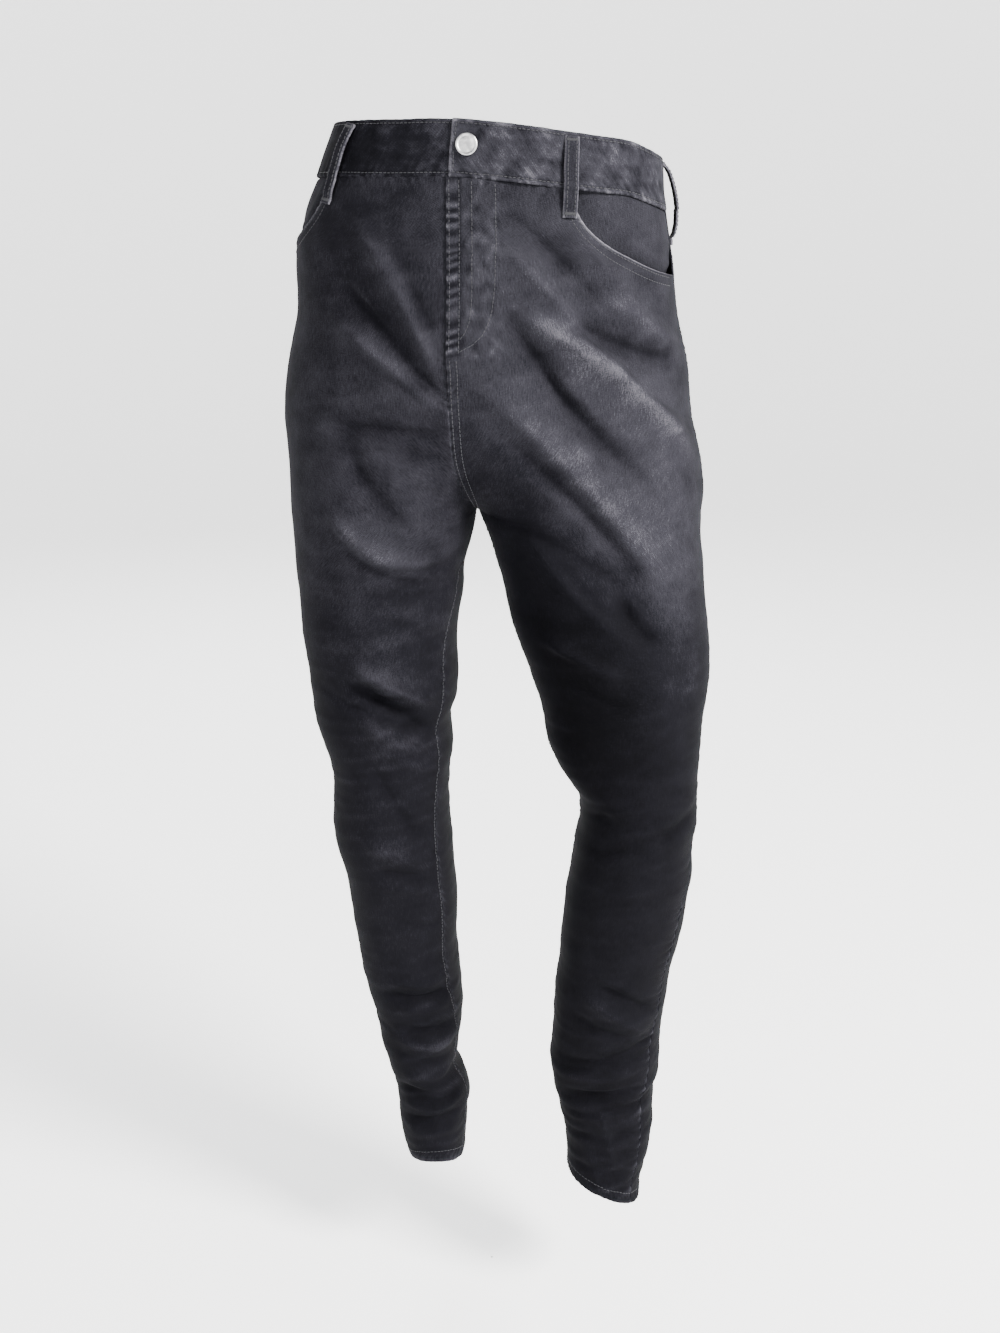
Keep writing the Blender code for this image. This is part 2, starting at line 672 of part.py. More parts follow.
def back_leg(side):
    rows, k, z = back_grid(side, 3, None)
    points, out = skin_and_out(side, k, z)
    trimmed = trim(points, ["top", "first"])
    below = rows <= CROTCH
    trimmed[below] = trim(points, ["first", "last"])[below]
    outer = trimmed + out * hem_swell(rows)
    solid("back_" + side, outer, outer - out * leg_wall(rows), DENIM)
    return points, out


def yoke(side):
    rows, k, z = back_grid(side, 0, 4)
    points, out = skin_and_out(side, k, z)
    trimmed = trim(points, ["top", "bottom", "first"])
    solid("yoke_" + side, trimmed, trimmed - out * WALL, DENIM)


def facing(side):
    """Hip piece behind the pocket opening, tucked under the front."""
    turns = np.radians(np.linspace(0, 90, FACING_GRID))
    widest = 1 - pocket_start(side) + FACING_MARGIN
    start = 1 - widest * opening_share(np.clip(np.sin(turns), 0.0, 1.0))
    z = BAND_SEAM - (POCKET_DEPTH + FACING_DROP) * np.sin(turns)
    share = np.linspace(0, 1, FACING_GRID)[None, :]
    k = start[:, None] + (1 - start[:, None]) * share
    k[-1] = 1 - (1 - k[-2]) * FACING_TIP
    z = np.repeat(z[:, None], FACING_GRID, axis=1)
    points, out = skin_and_out(side, k, z)
    near = toward_edge(side, k, z)
    depth = FACING_DEPTH * (1 + FACING_TUCK * ramp(near, TUCK_FROM, TUCK_FULL))
    depth = depth - FACING_RISE * ramp(near, RISE_FROM, RISE_FULL)
    outer = trim(points, ["top", "last"]) - out * depth[..., None]
    solid("pocket_facing_" + side, outer, outer - out * FACING_WALL, DENIM)


def back_pocket(side, points, out):
    """Patch pocket made from the back leg's own points, moved out."""
    rows = slice(POCKET_ROWS[0], POCKET_ROWS[1] + 2)
    columns = slice(POCKET_COLUMNS[0], POCKET_COLUMNS[1] + 1)
    grid = points[rows, columns].copy()
    lift = out[rows, columns].copy()
    spread = np.abs(np.linspace(-1, 1, grid.shape[1]))
    low = POCKET_POINT[0] + POCKET_POINT[1] * (1 - spread)
    grid[-1] = grid[-2] + (grid[-1] - grid[-2]) * low[:, None]
    lift[-1] = lift[-2] + (lift[-1] - lift[-2]) * low[:, None]
    solid("back_pocket_" + side, grid + lift * (POCKET_SEAT + POCKET_WALL), grid + lift * POCKET_SEAT, DENIM)


def band_points(angle, z):
    """Points and outward directions of the waist section at angles."""
    def at(turn, height):
        x_right, x_left, y_front, y_back = hips(height)
        x, y = ring(x_right, x_left, y_front, y_back, turn)
        lift = WAIST_SADDLE * np.cos(turn) ** 2 + smooth(WAIST_LIFT, 1, x)
        return np.stack([x, y, height + waist_roll(height) * x + lift], axis=-1)
    points = at(angle, z)
    out = np.cross(at(angle + 1e-4, z) - at(angle - 1e-4, z), at(angle, z + 1e-5) - at(angle, z - 1e-5))
    return points, out / np.linalg.norm(out, axis=-1, keepdims=True)


def waistband():
    """One band that goes once round and laps over itself at the front."""
    heights = np.linspace(BAND_TOP, BAND_SEAM, BAND_ROWS)
    over_end = np.linspace(OVER_END_TOP, OVER_END_SEAM, BAND_ROWS) - 2 * math.pi
    angle = np.linspace(np.full(BAND_ROWS, UNDER_END), over_end, BAND_COLUMNS + 1, axis=1)
    z = np.repeat(heights[:, None], BAND_COLUMNS + 1, axis=1)
    points, out = band_points(angle, z)
    over = ramp(angle + 2 * math.pi, LAP_FROM, LAP_FULL)
    lift = BAND_LIFT + BAND_LAP_LIFT * over
    outer = trim(points, ["bottom"]) + out * lift[..., None]
    solid("waistband", outer, outer - out * BAND_WALL, DENIM)


def belt_loop(name, degrees, bulge, drop):
    """Strip from below the waistband seam up to its top edge, standing off in the middle."""
    steps = np.linspace(0, 1, LOOP_ROWS)
    bottom = BAND_SEAM - drop * MM
    top = BAND_TOP - LOOP_INSET
    z = bottom + (top - bottom) * steps
    angle = np.full(LOOP_ROWS, math.radians(degrees))
    points, out = band_points(angle, z)
    seated = np.where(z < BAND_SEAM - LOOP_STEP, LOOP_SEAT_BELOW, BAND_LIFT)
    arch = np.sin(math.pi * np.clip((steps - LOOP_FLAT) / LOOP_FREE, 0, 1)) ** LOOP_ARCH
    lift = LOOP_SEAT + seated + bulge * MM * arch
    across = np.cross(out, points[-1] - points[0])
    across = across / np.linalg.norm(across, axis=-1, keepdims=True) * LOOP_WIDTH / 2
    level = out[LOOP_ROWS // 2][None, :]
    path = points + out * lift[:, None]
    inner = np.stack([path - across, path + across], axis=1)
    outer = inner + level[:, None, :] * LOOP_WALL
    solid("belt_loop_" + name, outer, inner, DENIM)


def button():
    """Domed shank button turned about its own axis and set on the lapped end."""
    mesh = bpy.data.meshes.new("button")
    corners = [(radius * MM, 0.0, height * MM) for radius, height in BUTTON_PROFILE]
    mesh.from_pydata(corners, [(i, i + 1) for i in range(len(corners) - 1)], [])
    part = bpy.data.objects.new("button", mesh)
    PARTS.objects.link(part)
    turn = part.modifiers.new("turn", "SCREW")
    turn.steps = BUTTON_SIDES
    turn.render_steps = BUTTON_SIDES
    turn.use_merge_vertices = True
    turn.merge_threshold = 1e-6
    turn.use_normal_calculate = True
    points, out = band_points(np.array([BUTTON_ANGLE]), np.array([BUTTON_HEIGHT]))
    seat = points[0] + out[0] * (BAND_LIFT + BAND_LAP_LIFT + SEAM_GAP)
    x_axis = np.cross([0, 0, 1], out[0])
    x_axis /= np.linalg.norm(x_axis)
    y_axis = np.cross(out[0], x_axis)
    placed = np.vstack([np.column_stack([x_axis, y_axis, out[0], seat]), [0, 0, 0, 1]])
    part.matrix_world = Matrix(placed.tolist())
    part.data.materials.append(material("button", METAL, 1.0, BUTTON_ROUGHNESS))


def clear_scene():
    for thing in list(bpy.data.objects):
        bpy.data.objects.remove(thing)


clear_scene()
PARTS = bpy.data.collections.new("skinny_jeans")
bpy.context.scene.collection.children.link(PARTS)
for half in ("right", "left"):
    front_leg(half)
    back_pocket(half, *back_leg(half))
    yoke(half)
    facing(half)
waistband()
for loop_name, loop_sizes in LOOPS.items():
    belt_loop(loop_name, *loop_sizes)
button()
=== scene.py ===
# %% [markdown]
# # Skinny jeans, hollow and worn on no one
# These are high-rise stretch jeans in washed black twill. The solids from the part's source give the
# form. Here each cut piece gets a fine cloth shell on that form, with sewing, wear and a metal button.

# %% Frame
import math

import bpy
import numpy as np
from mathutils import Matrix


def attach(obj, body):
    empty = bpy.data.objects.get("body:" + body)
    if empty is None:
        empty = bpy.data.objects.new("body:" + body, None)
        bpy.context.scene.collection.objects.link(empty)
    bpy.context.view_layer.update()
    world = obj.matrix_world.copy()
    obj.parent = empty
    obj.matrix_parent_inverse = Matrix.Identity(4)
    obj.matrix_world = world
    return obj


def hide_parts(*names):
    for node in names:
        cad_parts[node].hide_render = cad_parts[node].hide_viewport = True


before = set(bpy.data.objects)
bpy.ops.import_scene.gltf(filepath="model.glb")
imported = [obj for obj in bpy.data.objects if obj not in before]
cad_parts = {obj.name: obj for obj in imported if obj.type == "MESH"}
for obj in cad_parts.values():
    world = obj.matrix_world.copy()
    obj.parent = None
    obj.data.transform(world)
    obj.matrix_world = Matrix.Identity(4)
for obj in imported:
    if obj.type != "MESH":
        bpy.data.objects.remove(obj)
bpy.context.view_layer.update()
MM = 0.001

# %% [markdown]
# ## The sizes of the garment
# The same named sizes and short tables shape the solids. A row of a table is one height of the body
# under the cloth, so the shells follow the solids closely.

# %% Sizes
SEAM_GAP = 0.3 * MM
HEM_DEPTH = 12.5 * MM
BAND_TOP, BAND_SEAM = 9.0 * MM, -31.5 * MM
POCKET_DEPTH = 50.5 * MM
YOKE_SIDE, YOKE_DROP, YOKE_FADE = -74.3 * MM, 32 * MM, -165 * MM
CROTCH = -283 * MM
FRONT_CURVE, BACK_CURVE = 80 * MM, 115 * MM
HEM = {"right": -917 * MM, "left": -903 * MM}
ANKLE = -790 * MM
RING_FULLNESS = 0.04
WAIST_ROLL, ROLL_END = -0.115, -260 * MM
WAIST_SADDLE, LIFT_END = 7 * MM, -130 * MM
POCKET_ROUND = 2.7
FLY_LAP, FLY_LIFT, FLY_WIDTH = 1.0 * MM, 2.1 * MM, 48 * MM
FLY_LAP_END, FLY_SEAM_START, FLY_LIFT_END = -150 * MM, -168 * MM, -198 * MM
SIDE = {"right": -1.0, "left": 1.0}
HEM_TILT = {"right": (0.0, -0.42), "left": (-0.42, -0.12)}
POCKET_ANGLE = {"right": -60, "left": 25.0}
WALL, HEM_WALL = 1.5 * MM, 2.6 * MM

# z, x_right, x_left, y_front, y_back (mm)
TORSO = (
    (40, -118, 132, -82, 78), (19, -125, 134, -84, 80), (4, -131, 136, -86, 83),
    (-11, -136, 137, -88, 86), (-34, -146, 139, -91, 92), (-61, -156, 144, -95, 102),
    (-81, -158, 148, -97, 110), (-121, -159, 154, -100, 124), (-161, -168, 164, -101, 133),
    (-202, -173, 169, -102, 135), (-244, -170, 178, -101, 124), (-265, -169, 180, -100, 112),
    (-283, -168, 178, -99, 102),
)
# z, x_out, x_in, y_front, y_back (mm)
RIGHT_LEG = (
    (-283, -168, -11, -99, 102), (-308, -166, -16, -98, 93), (-330, -165, -22, -97, 87),
    (-352, -163, -23, -95, 83), (-374, -162, -27, -94, 80), (-397, -160, -29, -92, 77),
    (-419, -157, -28, -90, 75), (-442, -155, -29, -88, 73), (-465, -152, -35, -86, 70),
    (-488, -145, -33, -84, 67), (-512, -139, -36, -81, 62), (-536, -139, -37, -79, 58),
    (-560, -140, -36, -76, 55), (-584, -137, -34, -73, 53), (-608, -131, -33, -68, 54),
    (-633, -128, -31, -62, 58), (-658, -126, -31, -57, 64), (-683, -123, -32, -52, 69),
    (-708, -120, -30, -49, 72), (-734, -115, -28, -46, 72), (-760, -108, -27, -43, 70),
    (-786, -104, -30, -41, 67), (-812, -97, -33, -39, 64), (-839, -90, -22, -38, 61),
    (-866, -88, -23, -38, 59), (-893, -85, -25, -38, 58), (-917, -78, -28, -38, 58),
)
LEFT_LEG = (
    (-283, 178, -11, -99, 102), (-306, 178, -1, -102, 92), (-326, 180, 5, -104, 84),
    (-345, 181, 11, -106, 76), (-365, 183, 15, -109, 68), (-385, 185, 21, -111, 61),
    (-405, 186, 29, -113, 54), (-427, 185, 37, -115, 47), (-449, 181, 44, -118, 39),
    (-472, 179, 48, -121, 31), (-494, 177, 58, -124, 24), (-517, 176, 74, -126, 18),
    (-540, 176, 77, -126, 13), (-563, 173, 73, -125, 10), (-587, 174, 70, -123, 8),
    (-610, 171, 66, -119, 8), (-634, 169, 64, -115, 10), (-659, 165, 62, -110, 13),
    (-683, 160, 61, -105, 17), (-708, 158, 58, -101, 20), (-733, 155, 57, -98, 21),
    (-758, 153, 56, -96, 19), (-783, 153, 54, -94, 15), (-809, 148, 58, -92, 9),
    (-835, 148, 63, -92, 3), (-861, 144, 68, -93, -2), (-887, 137, 70, -94, -6),
    (-914, 137, 72, -94, -8),
)
# x, how much higher the waist stands than its even slope (mm)
WAIST_LIFT = (
    (160, 5), (135, 6), (105, 9), (85, 7.5), (40, 5), (0, 4), (-32, 3), (-70, 0), (-200, 0),
)
# z, front rise x, back rise x (mm)
RISE_SEAM = (
    (40, -31, 31), (-32, -31, 30), (-100, -31, 24), (-200, -31, 8),
    (-240, -27, -1), (-265, -19, -7), (-283, -11, -11),
)
# z (mm), side seam right, inseam right, side seam left, inseam left (degrees from the front)
SEAM_ANGLE = (
    (40, -108, 90, 80, -90), (-32, -108, 90, 80, -90), (-200, -102, 90, 83, -90),
    (-283, -96, 90, 87, -90), (-330, -108, 70, 88, -80), (-400, -123, 56, 85, -78),
    (-460, -127, 53, 80, -80), (-510, -127, 53, 76, -92), (-570, -131, 49, 64, -104),
    (-640, -132, 48, 49, -120), (-710, -130, 50, 49, -124), (-760, -122, 59, 46, -125),
    (-800, -112, 68, 42, -128), (-930, -112, 68, 42, -128),
)
print("section rows:", len(TORSO) + len(RIGHT_LEG) + len(LEFT_LEG))

# %% [markdown]
# ## The folds
# A tight knee and hip pull the cloth into slanting ridges and troughs. Each row is one fold: a line
# with a sag, a width and a height. The first two tables are the large folds of the solids,
# and the third adds the sharper small ones that only cloth this fine can show.

# %% Fold tables
# x1, z1, x2, z2, sag, width, depth (mm)
FRONT_FOLDS = (
    (-100, -53, -38, -180, 4, 16, 4), (-115, -97, -34, -188, 4, 13, -6),
    (-118, -127, -34, -201, 3, 12, 5), (-72, -72, -46, -133, 0, 10, -3),
    (-125, -207, -40, -212, 4, 10, -4), (-70, -224, -19, -237, 2, 9, -3),
    (-113, -219, -62, -282, -8, 12, -4), (-127, -273, -42, -319, -13, 13, 4),
    (-96, -313, -33, -319, -4, 9, -3), (-90, -334, -35, -340, -4, 10, -3),
    (-112, -400, -48, -436, 0, 12, 5), (-115, -414, -54, -459, 2, 10, -6),
    (-106, -444, -55, -478, -4, 12, 4), (-101, -487, -60, -567, 0, 14, -3),
    (-108, -561, -61, -582, 0, 13, 3), (-101, -592, -58, -600, 4, 10, -3),
    (-94, -718, -34, -719, -4, 10, -3), (-86, -753, -30, -753, -5, 10, -3),
    (-88, -762, -28, -772, -7, 10, 3), (-81, -824, -21, -827, -8, 10, -3),
    (-80, -853, -23, -848, -2, 9, -3), (18, -114, 172, -235, 9, 14, 6),
    (55, -120, 150, -158, -4, 11, -5), (78, -105, 150, -147, 3, 12, 4),
    (12, -118, 125, -250, -6, 13, -6), (-9, -172, 131, -325, 8, 16, 5),
    (5, -209, 128, -337, 9, 14, -5), (35, -297, 112, -372, -6, 11, 3),
    (48, -374, 105, -408, 0, 11, 4), (103, -337, 138, -378, -6, 12, -5),
    (67, -538, 100, -518, 0, 10, -3), (169, -523, 136, -541, 0, 10, -3),
    (80, -693, 137, -730, 0, 12, 4), (93, -680, 141, -711, 0, 9, -3),
    (147, -738, 60, -765, -5, 10, -3), (62, -803, 130, -787, 0, 10, -3),
    (97, -808, 110, -865, 0, 9, 2),
)
BACK_FOLDS = (
    (8, -110, -2, -262, 0, 20, -6), (-150, -262, -45, -284, -6, 14, -5),
    (-142, -286, -50, -306, -5, 13, 4), (150, -268, 40, -284, -6, 14, -5),
    (148, -292, 45, -306, -5, 13, 4), (-132, -545, -45, -556, -5, 12, -4),
    (-134, -566, -42, -580, -4, 12, 4), (-130, -592, -42, -602, -3, 12, -4),
    (168, -500, 85, -520, -5, 12, -5), (170, -524, 82, -540, -4, 12, 4),
    (168, -552, 78, -566, -3, 12, -4), (-112, -690, -36, -704, -4, 12, -3),
    (-100, -772, -34, -780, -4, 10, -3), (-90, -838, -28, -842, -3, 10, -3),
    (150, -700, 66, -716, -4, 12, -3), (146, -782, 64, -792, -4, 10, -3),
    (138, -846, 72, -850, -3, 10, -3),
)
FINE_FRONT_FOLDS = (
    (-125, -287, -39, -333, -13, 6, -2.4), (-127, -270, -42, -314, -13, 5, 1.8),
    (-105, -338, -43, -352, 0, 5, -1.8), (-138, -423, -52, -461, -3, 5, -2.2),
    (-114, -396, -55, -432, 0, 5, 1.8), (-2, -278, 130, -350, 8, 7, -2.2),
    (80, -256, 167, -378, 12, 8, 1.2), (42, -378, 120, -409, 3, 5, 1.8),
    (60, -772, 147, -755, -3, 5, -2.0), (68, -796, 122, -791, 0, 4, -1.6),
    (84, -815, 137, -803, 0, 4, -1.6), (-98, -721, -32, -723, -3, 5, -2.0),
    (-99, -760, -28, -758, -4, 5, -2.0), (-88, -818, -21, -822, -6, 5, -2.0),
    (14, -72, 78, -142, 2, 8, 3.0), (14, -44, 96, -122, 2, 9, -2.6),
    (66, -60, 118, -122, 2, 8, 2.2), (-104, -96, -40, -172, -2, 6, 2.0),
    (-103, -60, -52, -106, 4, 9, 1.8), (30, -140, 98, -236, -3, 7, -2.0),
    (68, -134, 112, -175, 2, 5, 1.8), (60, -128, 100, -150, 0, 4, -1.4),
    (-75, -90, -40, -165, 2, 6, 1.4), (-100, -150, -48, -192, 2, 5, -1.8),
    (-68, -167, -31, -203, 0, 6, -2.0), (-90, -196, -40, -206, 0, 5, 1.4),
    (-95, -222, -52, -228, 0, 5, -1.2), (-60, -246, -25, -256, 0, 5, 1.2),
    (-104, -300, -50, -326, -5, 5, 1.2), (-110, -350, -60, -372, 0, 6, -1.2),
    (-60, -366, -34, -372, 0, 5, 1.0), (-100, -424, -54, -446, 0, 4, -1.6),
    (-96, -470, -52, -496, 0, 5, 1.3), (-88, -520, -52, -540, 0, 6, 1.2),
    (-98, -606, -50, -612, 2, 5, 1.2), (-90, -640, -46, -650, 0, 6, -1.0),
    (-92, -706, -38, -708, -3, 5, 1.4), (-88, -731, -36, -734, -4, 5, 1.0),
    (-84, -782, -30, -788, -5, 5, -1.4), (-82, -806, -24, -800, -5, 6, 1.6),
    (-80, -838, -24, -836, -5, 5, 1.5), (-78, -866, -28, -862, -3, 5, 1.2),
    (30, -150, 90, -206, 3, 6, 1.3), (40, -190, 110, -258, 4, 5, -1.2),
    (120, -180, 165, -212, 2, 5, -1.4), (20, -240, 100, -316, 6, 6, 1.3),
    (60, -316, 118, -372, -4, 5, -1.4), (108, -330, 122, -356, 0, 4, 1.6),
    (60, -404, 112, -430, -3, 6, -1.5), (80, -440, 130, -452, 0, 7, 1.0),
    (84, -520, 120, -510, 0, 5, 1.2), (82, -556, 110, -548, 0, 6, -1.2),
    (150, -500, 172, -512, 0, 5, 1.2), (84, -668, 126, -690, 0, 6, 1.2),
    (72, -714, 130, -736, -3, 5, -1.3), (70, -776, 134, -762, 2, 5, 1.4),
    (66, -822, 126, -812, 0, 5, 1.2), (72, -838, 124, -832, 0, 5, -1.3),
    (84, -846, 96, -886, 0, 4, 1.0), (70, -866, 120, -872, 0, 5, -1.0),
)
FINE_BACK_FOLDS = (
    (-140, -274, -60, -296, -6, 5, 1.4), (140, -280, 56, -296, -6, 5, 1.4),
    (-128, -552, -50, -568, -4, 5, 1.4), (-126, -580, -46, -592, -3, 5, -1.3),
    (162, -512, 90, -530, -4, 5, 1.4), (164, -540, 84, -554, -3, 5, -1.3),
    (-110, -676, -44, -688, -4, 5, 1.2), (-104, -730, -38, -742, -4, 6, -1.2),
    (-96, -792, -34, -798, -3, 5, 1.3), (-92, -816, -30, -822, -3, 5, -1.3),
    (148, -684, 72, -700, -4, 5, 1.2), (146, -742, 66, -756, -4, 6, -1.2),
    (142, -800, 68, -808, -3, 5, 1.3), (140, -826, 72, -832, -3, 5, -1.3),
    (-86, -860, -30, -862, -3, 5, 1.2), (134, -866, 76, -870, -3, 5, 1.2),
)
print("folds:", len(FRONT_FOLDS) + len(BACK_FOLDS) + len(FINE_FRONT_FOLDS) + len(FINE_BACK_FOLDS))

# %% [markdown]
# ## From tables to a skin
# A point of the cloth is named by its half, its share k round that half and its row height z. k is 0 at
# the front rise or inseam, 1 at the side seam and 2 at the back rise or inseam. Above the crotch the two
# halves share the section of the hips, and below it each has its own ring.

# %% Smooth tables and rings
def smooth(table, number, z, unit=MM):
    """Value of a column at height z, by a smooth curve through the rows."""
    heights = np.array([row[0] for row in reversed(table)]) * MM
    values = np.array([row[number] for row in reversed(table)], dtype=float) * unit
    slopes = np.gradient(values, heights)
    low = np.clip(np.searchsorted(heights, z) - 1, 0, len(heights) - 2)
    span = heights[low + 1] - heights[low]
    t = np.clip((z - heights[low]) / span, 0.0, 1.0)
    rise = values[low + 1] - values[low]
    start = slopes[low] * span
    finish = slopes[low + 1] * span
    return (values[low] + start * t + (3 * rise - 2 * start - finish) * t ** 2
            + (start + finish - 2 * rise) * t ** 3)


def ramp(value, start, finish):
    """0 at start, 1 at finish, with soft ends."""
    t = np.clip((value - start) / (finish - start), 0.0, 1.0)
    return t * t * (3 - 2 * t)


def ring(x_low, x_high, y_front, y_back, angle):
    """Point of a horizontal section at an angle from the front round to +X."""
    fullness = 1 + RING_FULLNESS * np.sin(2 * angle) ** 2
    x = (x_low + x_high) / 2 + (x_high - x_low) / 2 * np.sin(angle) * fullness
    y = (y_front + y_back) / 2 - (y_back - y_front) / 2 * np.cos(angle) * fullness
    return x, y


def rise_angle(x_low, x_high, seam_x):
    """Angle at which the section meets the rise seam at the front."""
    share = (seam_x - (x_low + x_high) / 2) / ((x_high - x_low) / 2)
    angle = np.arcsin(np.clip(share, -1, 1))
    for _ in range(3):
        angle = np.arcsin(np.clip(share / (1 + RING_FULLNESS * np.sin(2 * angle) ** 2), -1, 1))
    return angle


def waist_roll(z):
    return WAIST_ROLL * np.clip((z - ROLL_END) / (BAND_SEAM - ROLL_END), 0.0, 1.1)


def hips(z):
    """Outline of the hips at height z, allowing for the tilt of the rows."""
    roll = waist_roll(z)
    return (smooth(TORSO, 1, z - roll * 0.14), smooth(TORSO, 2, z + roll * 0.14),
            smooth(TORSO, 3, z), smooth(TORSO, 4, z))


def fly_lap(z):
    """How far the left front reaches over the right front."""
    return FLY_LAP * ramp(z, FLY_SEAM_START, FLY_LAP_END)


def fly_lift(z, x, k):
    """How far the lapped edge stands off the right front."""
    beside = x - smooth(RISE_SEAM, 1, z)
    height = FLY_LIFT * ramp(z, FLY_LIFT_END, FLY_SEAM_START)
    return height * ramp(beside, FLY_WIDTH, FLY_WIDTH / 2) * ramp(k, 0.9, 0.7)


print("ring helpers ready")

# %% The section of one half
def reach(x_low, x_high, y_front, y_back, from_x, from_y, turn):
    """Distance from an inner point to the section along a direction from the front round to +X."""
    half_x, half_y = (x_high - x_low) / 2, (y_back - y_front) / 2
    start_x, start_y = from_x - (x_low + x_high) / 2, from_y - (y_front + y_back) / 2
    go_x, go_y = np.sin(turn), -np.cos(turn)
    fullness = 1.0
    for _ in range(5):
        wide, deep = half_x * fullness, half_y * fullness
        square = (go_x / wide) ** 2 + (go_y / deep) ** 2
        cross = go_x * start_x / wide ** 2 + go_y * start_y / deep ** 2
        rest = (start_x / wide) ** 2 + (start_y / deep) ** 2 - 1
        distance = (-cross + np.sqrt(np.maximum(cross ** 2 - square * rest, 0.0))) / square
        angle = np.arctan2((start_x + distance * go_x) / half_x, -(start_y + distance * go_y) / half_y)
        fullness = 1 + RING_FULLNESS * np.sin(2 * angle) ** 2
    return distance


def direction(sign, from_x, from_y, x, y, least):
    """Direction from the front round to the outer side, kept growing past the back."""
    turn = np.arctan2(sign * (x - from_x), -(y - from_y))
    return sign * np.where(turn < least, turn + 2 * math.pi, turn)


def section(side, z):
    """All that shapes one half at height z: its rings, its middle and the ends and side of its cloth."""
    sign = SIDE[side]
    hip = hips(z)
    gap = sign * SEAM_GAP / 2
    front_x = smooth(RISE_SEAM, 1, z) + gap
    back_x = smooth(RISE_SEAM, 2, z) + gap
    edge_x = front_x - (fly_lap(z) if side == "left" else 0.0)
    number = 1 if side == "right" else 3
    side_angle = smooth(SEAM_ANGLE, number, z, math.pi / 180)
    inner_angle = smooth(SEAM_ANGLE, number + 1, z, math.pi / 180)

    table = RIGHT_LEG if side == "right" else LEFT_LEG
    above = z > CROTCH
    outer = np.where(above, hip[0] if side == "right" else hip[1], smooth(table, 1, z))
    inner = np.where(above, (front_x + back_x) / 2, smooth(table, 2, z) + gap)
    leg = (np.minimum(outer, inner), np.maximum(outer, inner),
           np.where(above, hip[2], smooth(table, 3, z)), np.where(above, hip[3], smooth(table, 4, z)))
    middle_x, middle_y = (outer + inner) / 2, (leg[2] + leg[3]) / 2

    height = np.maximum(z - CROTCH, 0.0)
    front_share = np.sqrt(1 - (1 - np.minimum(height / FRONT_CURVE, 1)) ** 2)
    back_share = np.sqrt(1 - (1 - np.minimum(height / BACK_CURVE, 1)) ** 2)
    _, front_y = ring(*hip, rise_angle(hip[0], hip[1], edge_x))
    _, back_y = ring(*hip, math.pi - rise_angle(hip[0], hip[1], back_x))
    seam_front = middle_y + (front_y - middle_y) * front_share
    seam_back = middle_y + (back_y - middle_y) * back_share
    first = direction(sign, middle_x, middle_y, edge_x, seam_front, -9.0)
    last = direction(sign, middle_x, middle_y, back_x, seam_back, 0.0)
    hip_side = direction(sign, middle_x, middle_y, *ring(*hip, side_angle), 0.0)
    leg_side = direction(sign, middle_x, middle_y, *ring(*leg, side_angle), 0.0)
    leg_inner = direction(sign, middle_x, middle_y, *ring(*leg, inner_angle), -9.0)
    leg_last = leg_inner + sign * 2 * math.pi
    turns = {
        "first": np.where(above, first, leg_inner),
        "half": leg_side + (hip_side - leg_side) * np.minimum(height / FRONT_CURVE, 1),
        "last": np.where(above, last, leg_last),
        "leg_first": leg_inner,
        "leg_last": leg_last,
        "shift_first": 3 - 2 * np.minimum(height / FRONT_CURVE, 1),
        "shift_last": 3 - 2 * np.minimum(height / BACK_CURVE, 1),
    }
    return hip, leg, (middle_x, middle_y), turns, (front_share, back_share), (edge_x, back_x)


def turn_at(k, turns):
    """Direction of k. Near the crotch only the cloth beside the rise seam moves over to it."""
    to_first = np.maximum(1 - k, 0.0)
    to_last = np.maximum(k - 1, 0.0)
    front = turns["half"] + (turns["leg_first"] - turns["half"]) * (1 - k)
    back = turns["half"] + (turns["leg_last"] - turns["half"]) * (k - 1)
    front = front + (turns["first"] - turns["leg_first"]) * to_first ** turns["shift_first"]
    back = back + (turns["last"] - turns["leg_last"]) * to_last ** turns["shift_last"]
    return np.where(k < 1, front, back)


def bare_skin(side, k, z):
    """Outer face of one half without folds."""
    hip, leg, middle, turns, shares, planes = section(side, z)
    turn = turn_at(k, turns)
    to_hip = reach(*hip, *middle, turn)
    to_leg = reach(*leg, *middle, turn)
    toward_back = ramp(k, 0.3, 1.7)
    share = shares[0] * (1 - toward_back) + shares[1] * toward_back
    distance = to_leg + (to_hip - to_leg) * share ** 4
    for end, plane, part_share, near in ((turns["first"], planes[0], shares[0], k),
                                         (turns["last"], planes[1], shares[1], 2 - k)):
        to_plane = (plane - middle[0]) / np.where(np.abs(np.sin(end)) < 1e-6, 1e-6, np.sin(end))
        hip_end, leg_end = reach(*hip, *middle, end), reach(*leg, *middle, end)
        short = to_plane - (leg_end + (hip_end - leg_end) * part_share ** 4)
        distance = distance + np.where(z > CROTCH, short * np.clip(1 - near / 0.25, 0, 1.1) ** 2, 0.0)
    x = middle[0] + distance * np.sin(turn)
    y = middle[1] - distance * np.cos(turn)
    across = (x - (hip[0] + hip[1]) / 2) / ((hip[1] - hip[0]) / 2)
    saddle = WAIST_SADDLE * (1 - np.clip(across, -1, 1) ** 2) * ramp(z, -0.15, -0.03)
    roll, pitch = HEM_TILT[side]
    tilt = ramp(z, ANKLE, ANKLE - 0.12) * (roll * (x - middle[0]) + pitch * (y - middle[1]))
    lift = smooth(WAIST_LIFT, 1, x) * ramp(z, LIFT_END, BAND_SEAM)
    return np.stack([x, y, z + waist_roll(z) * x + saddle + lift + tilt], axis=-1)


print("one half at the hip:", np.round(bare_skin("left", np.array(0.5), np.array(-0.2)), 3))

# %% [markdown]
# ## Folds and puckers on the skin
# Each fold pushes the skin along its own outward direction by a bell-shaped amount. Sewn edges draw in
# and ripple, because the thread is tighter than the cloth: a short wave along the seam does that.

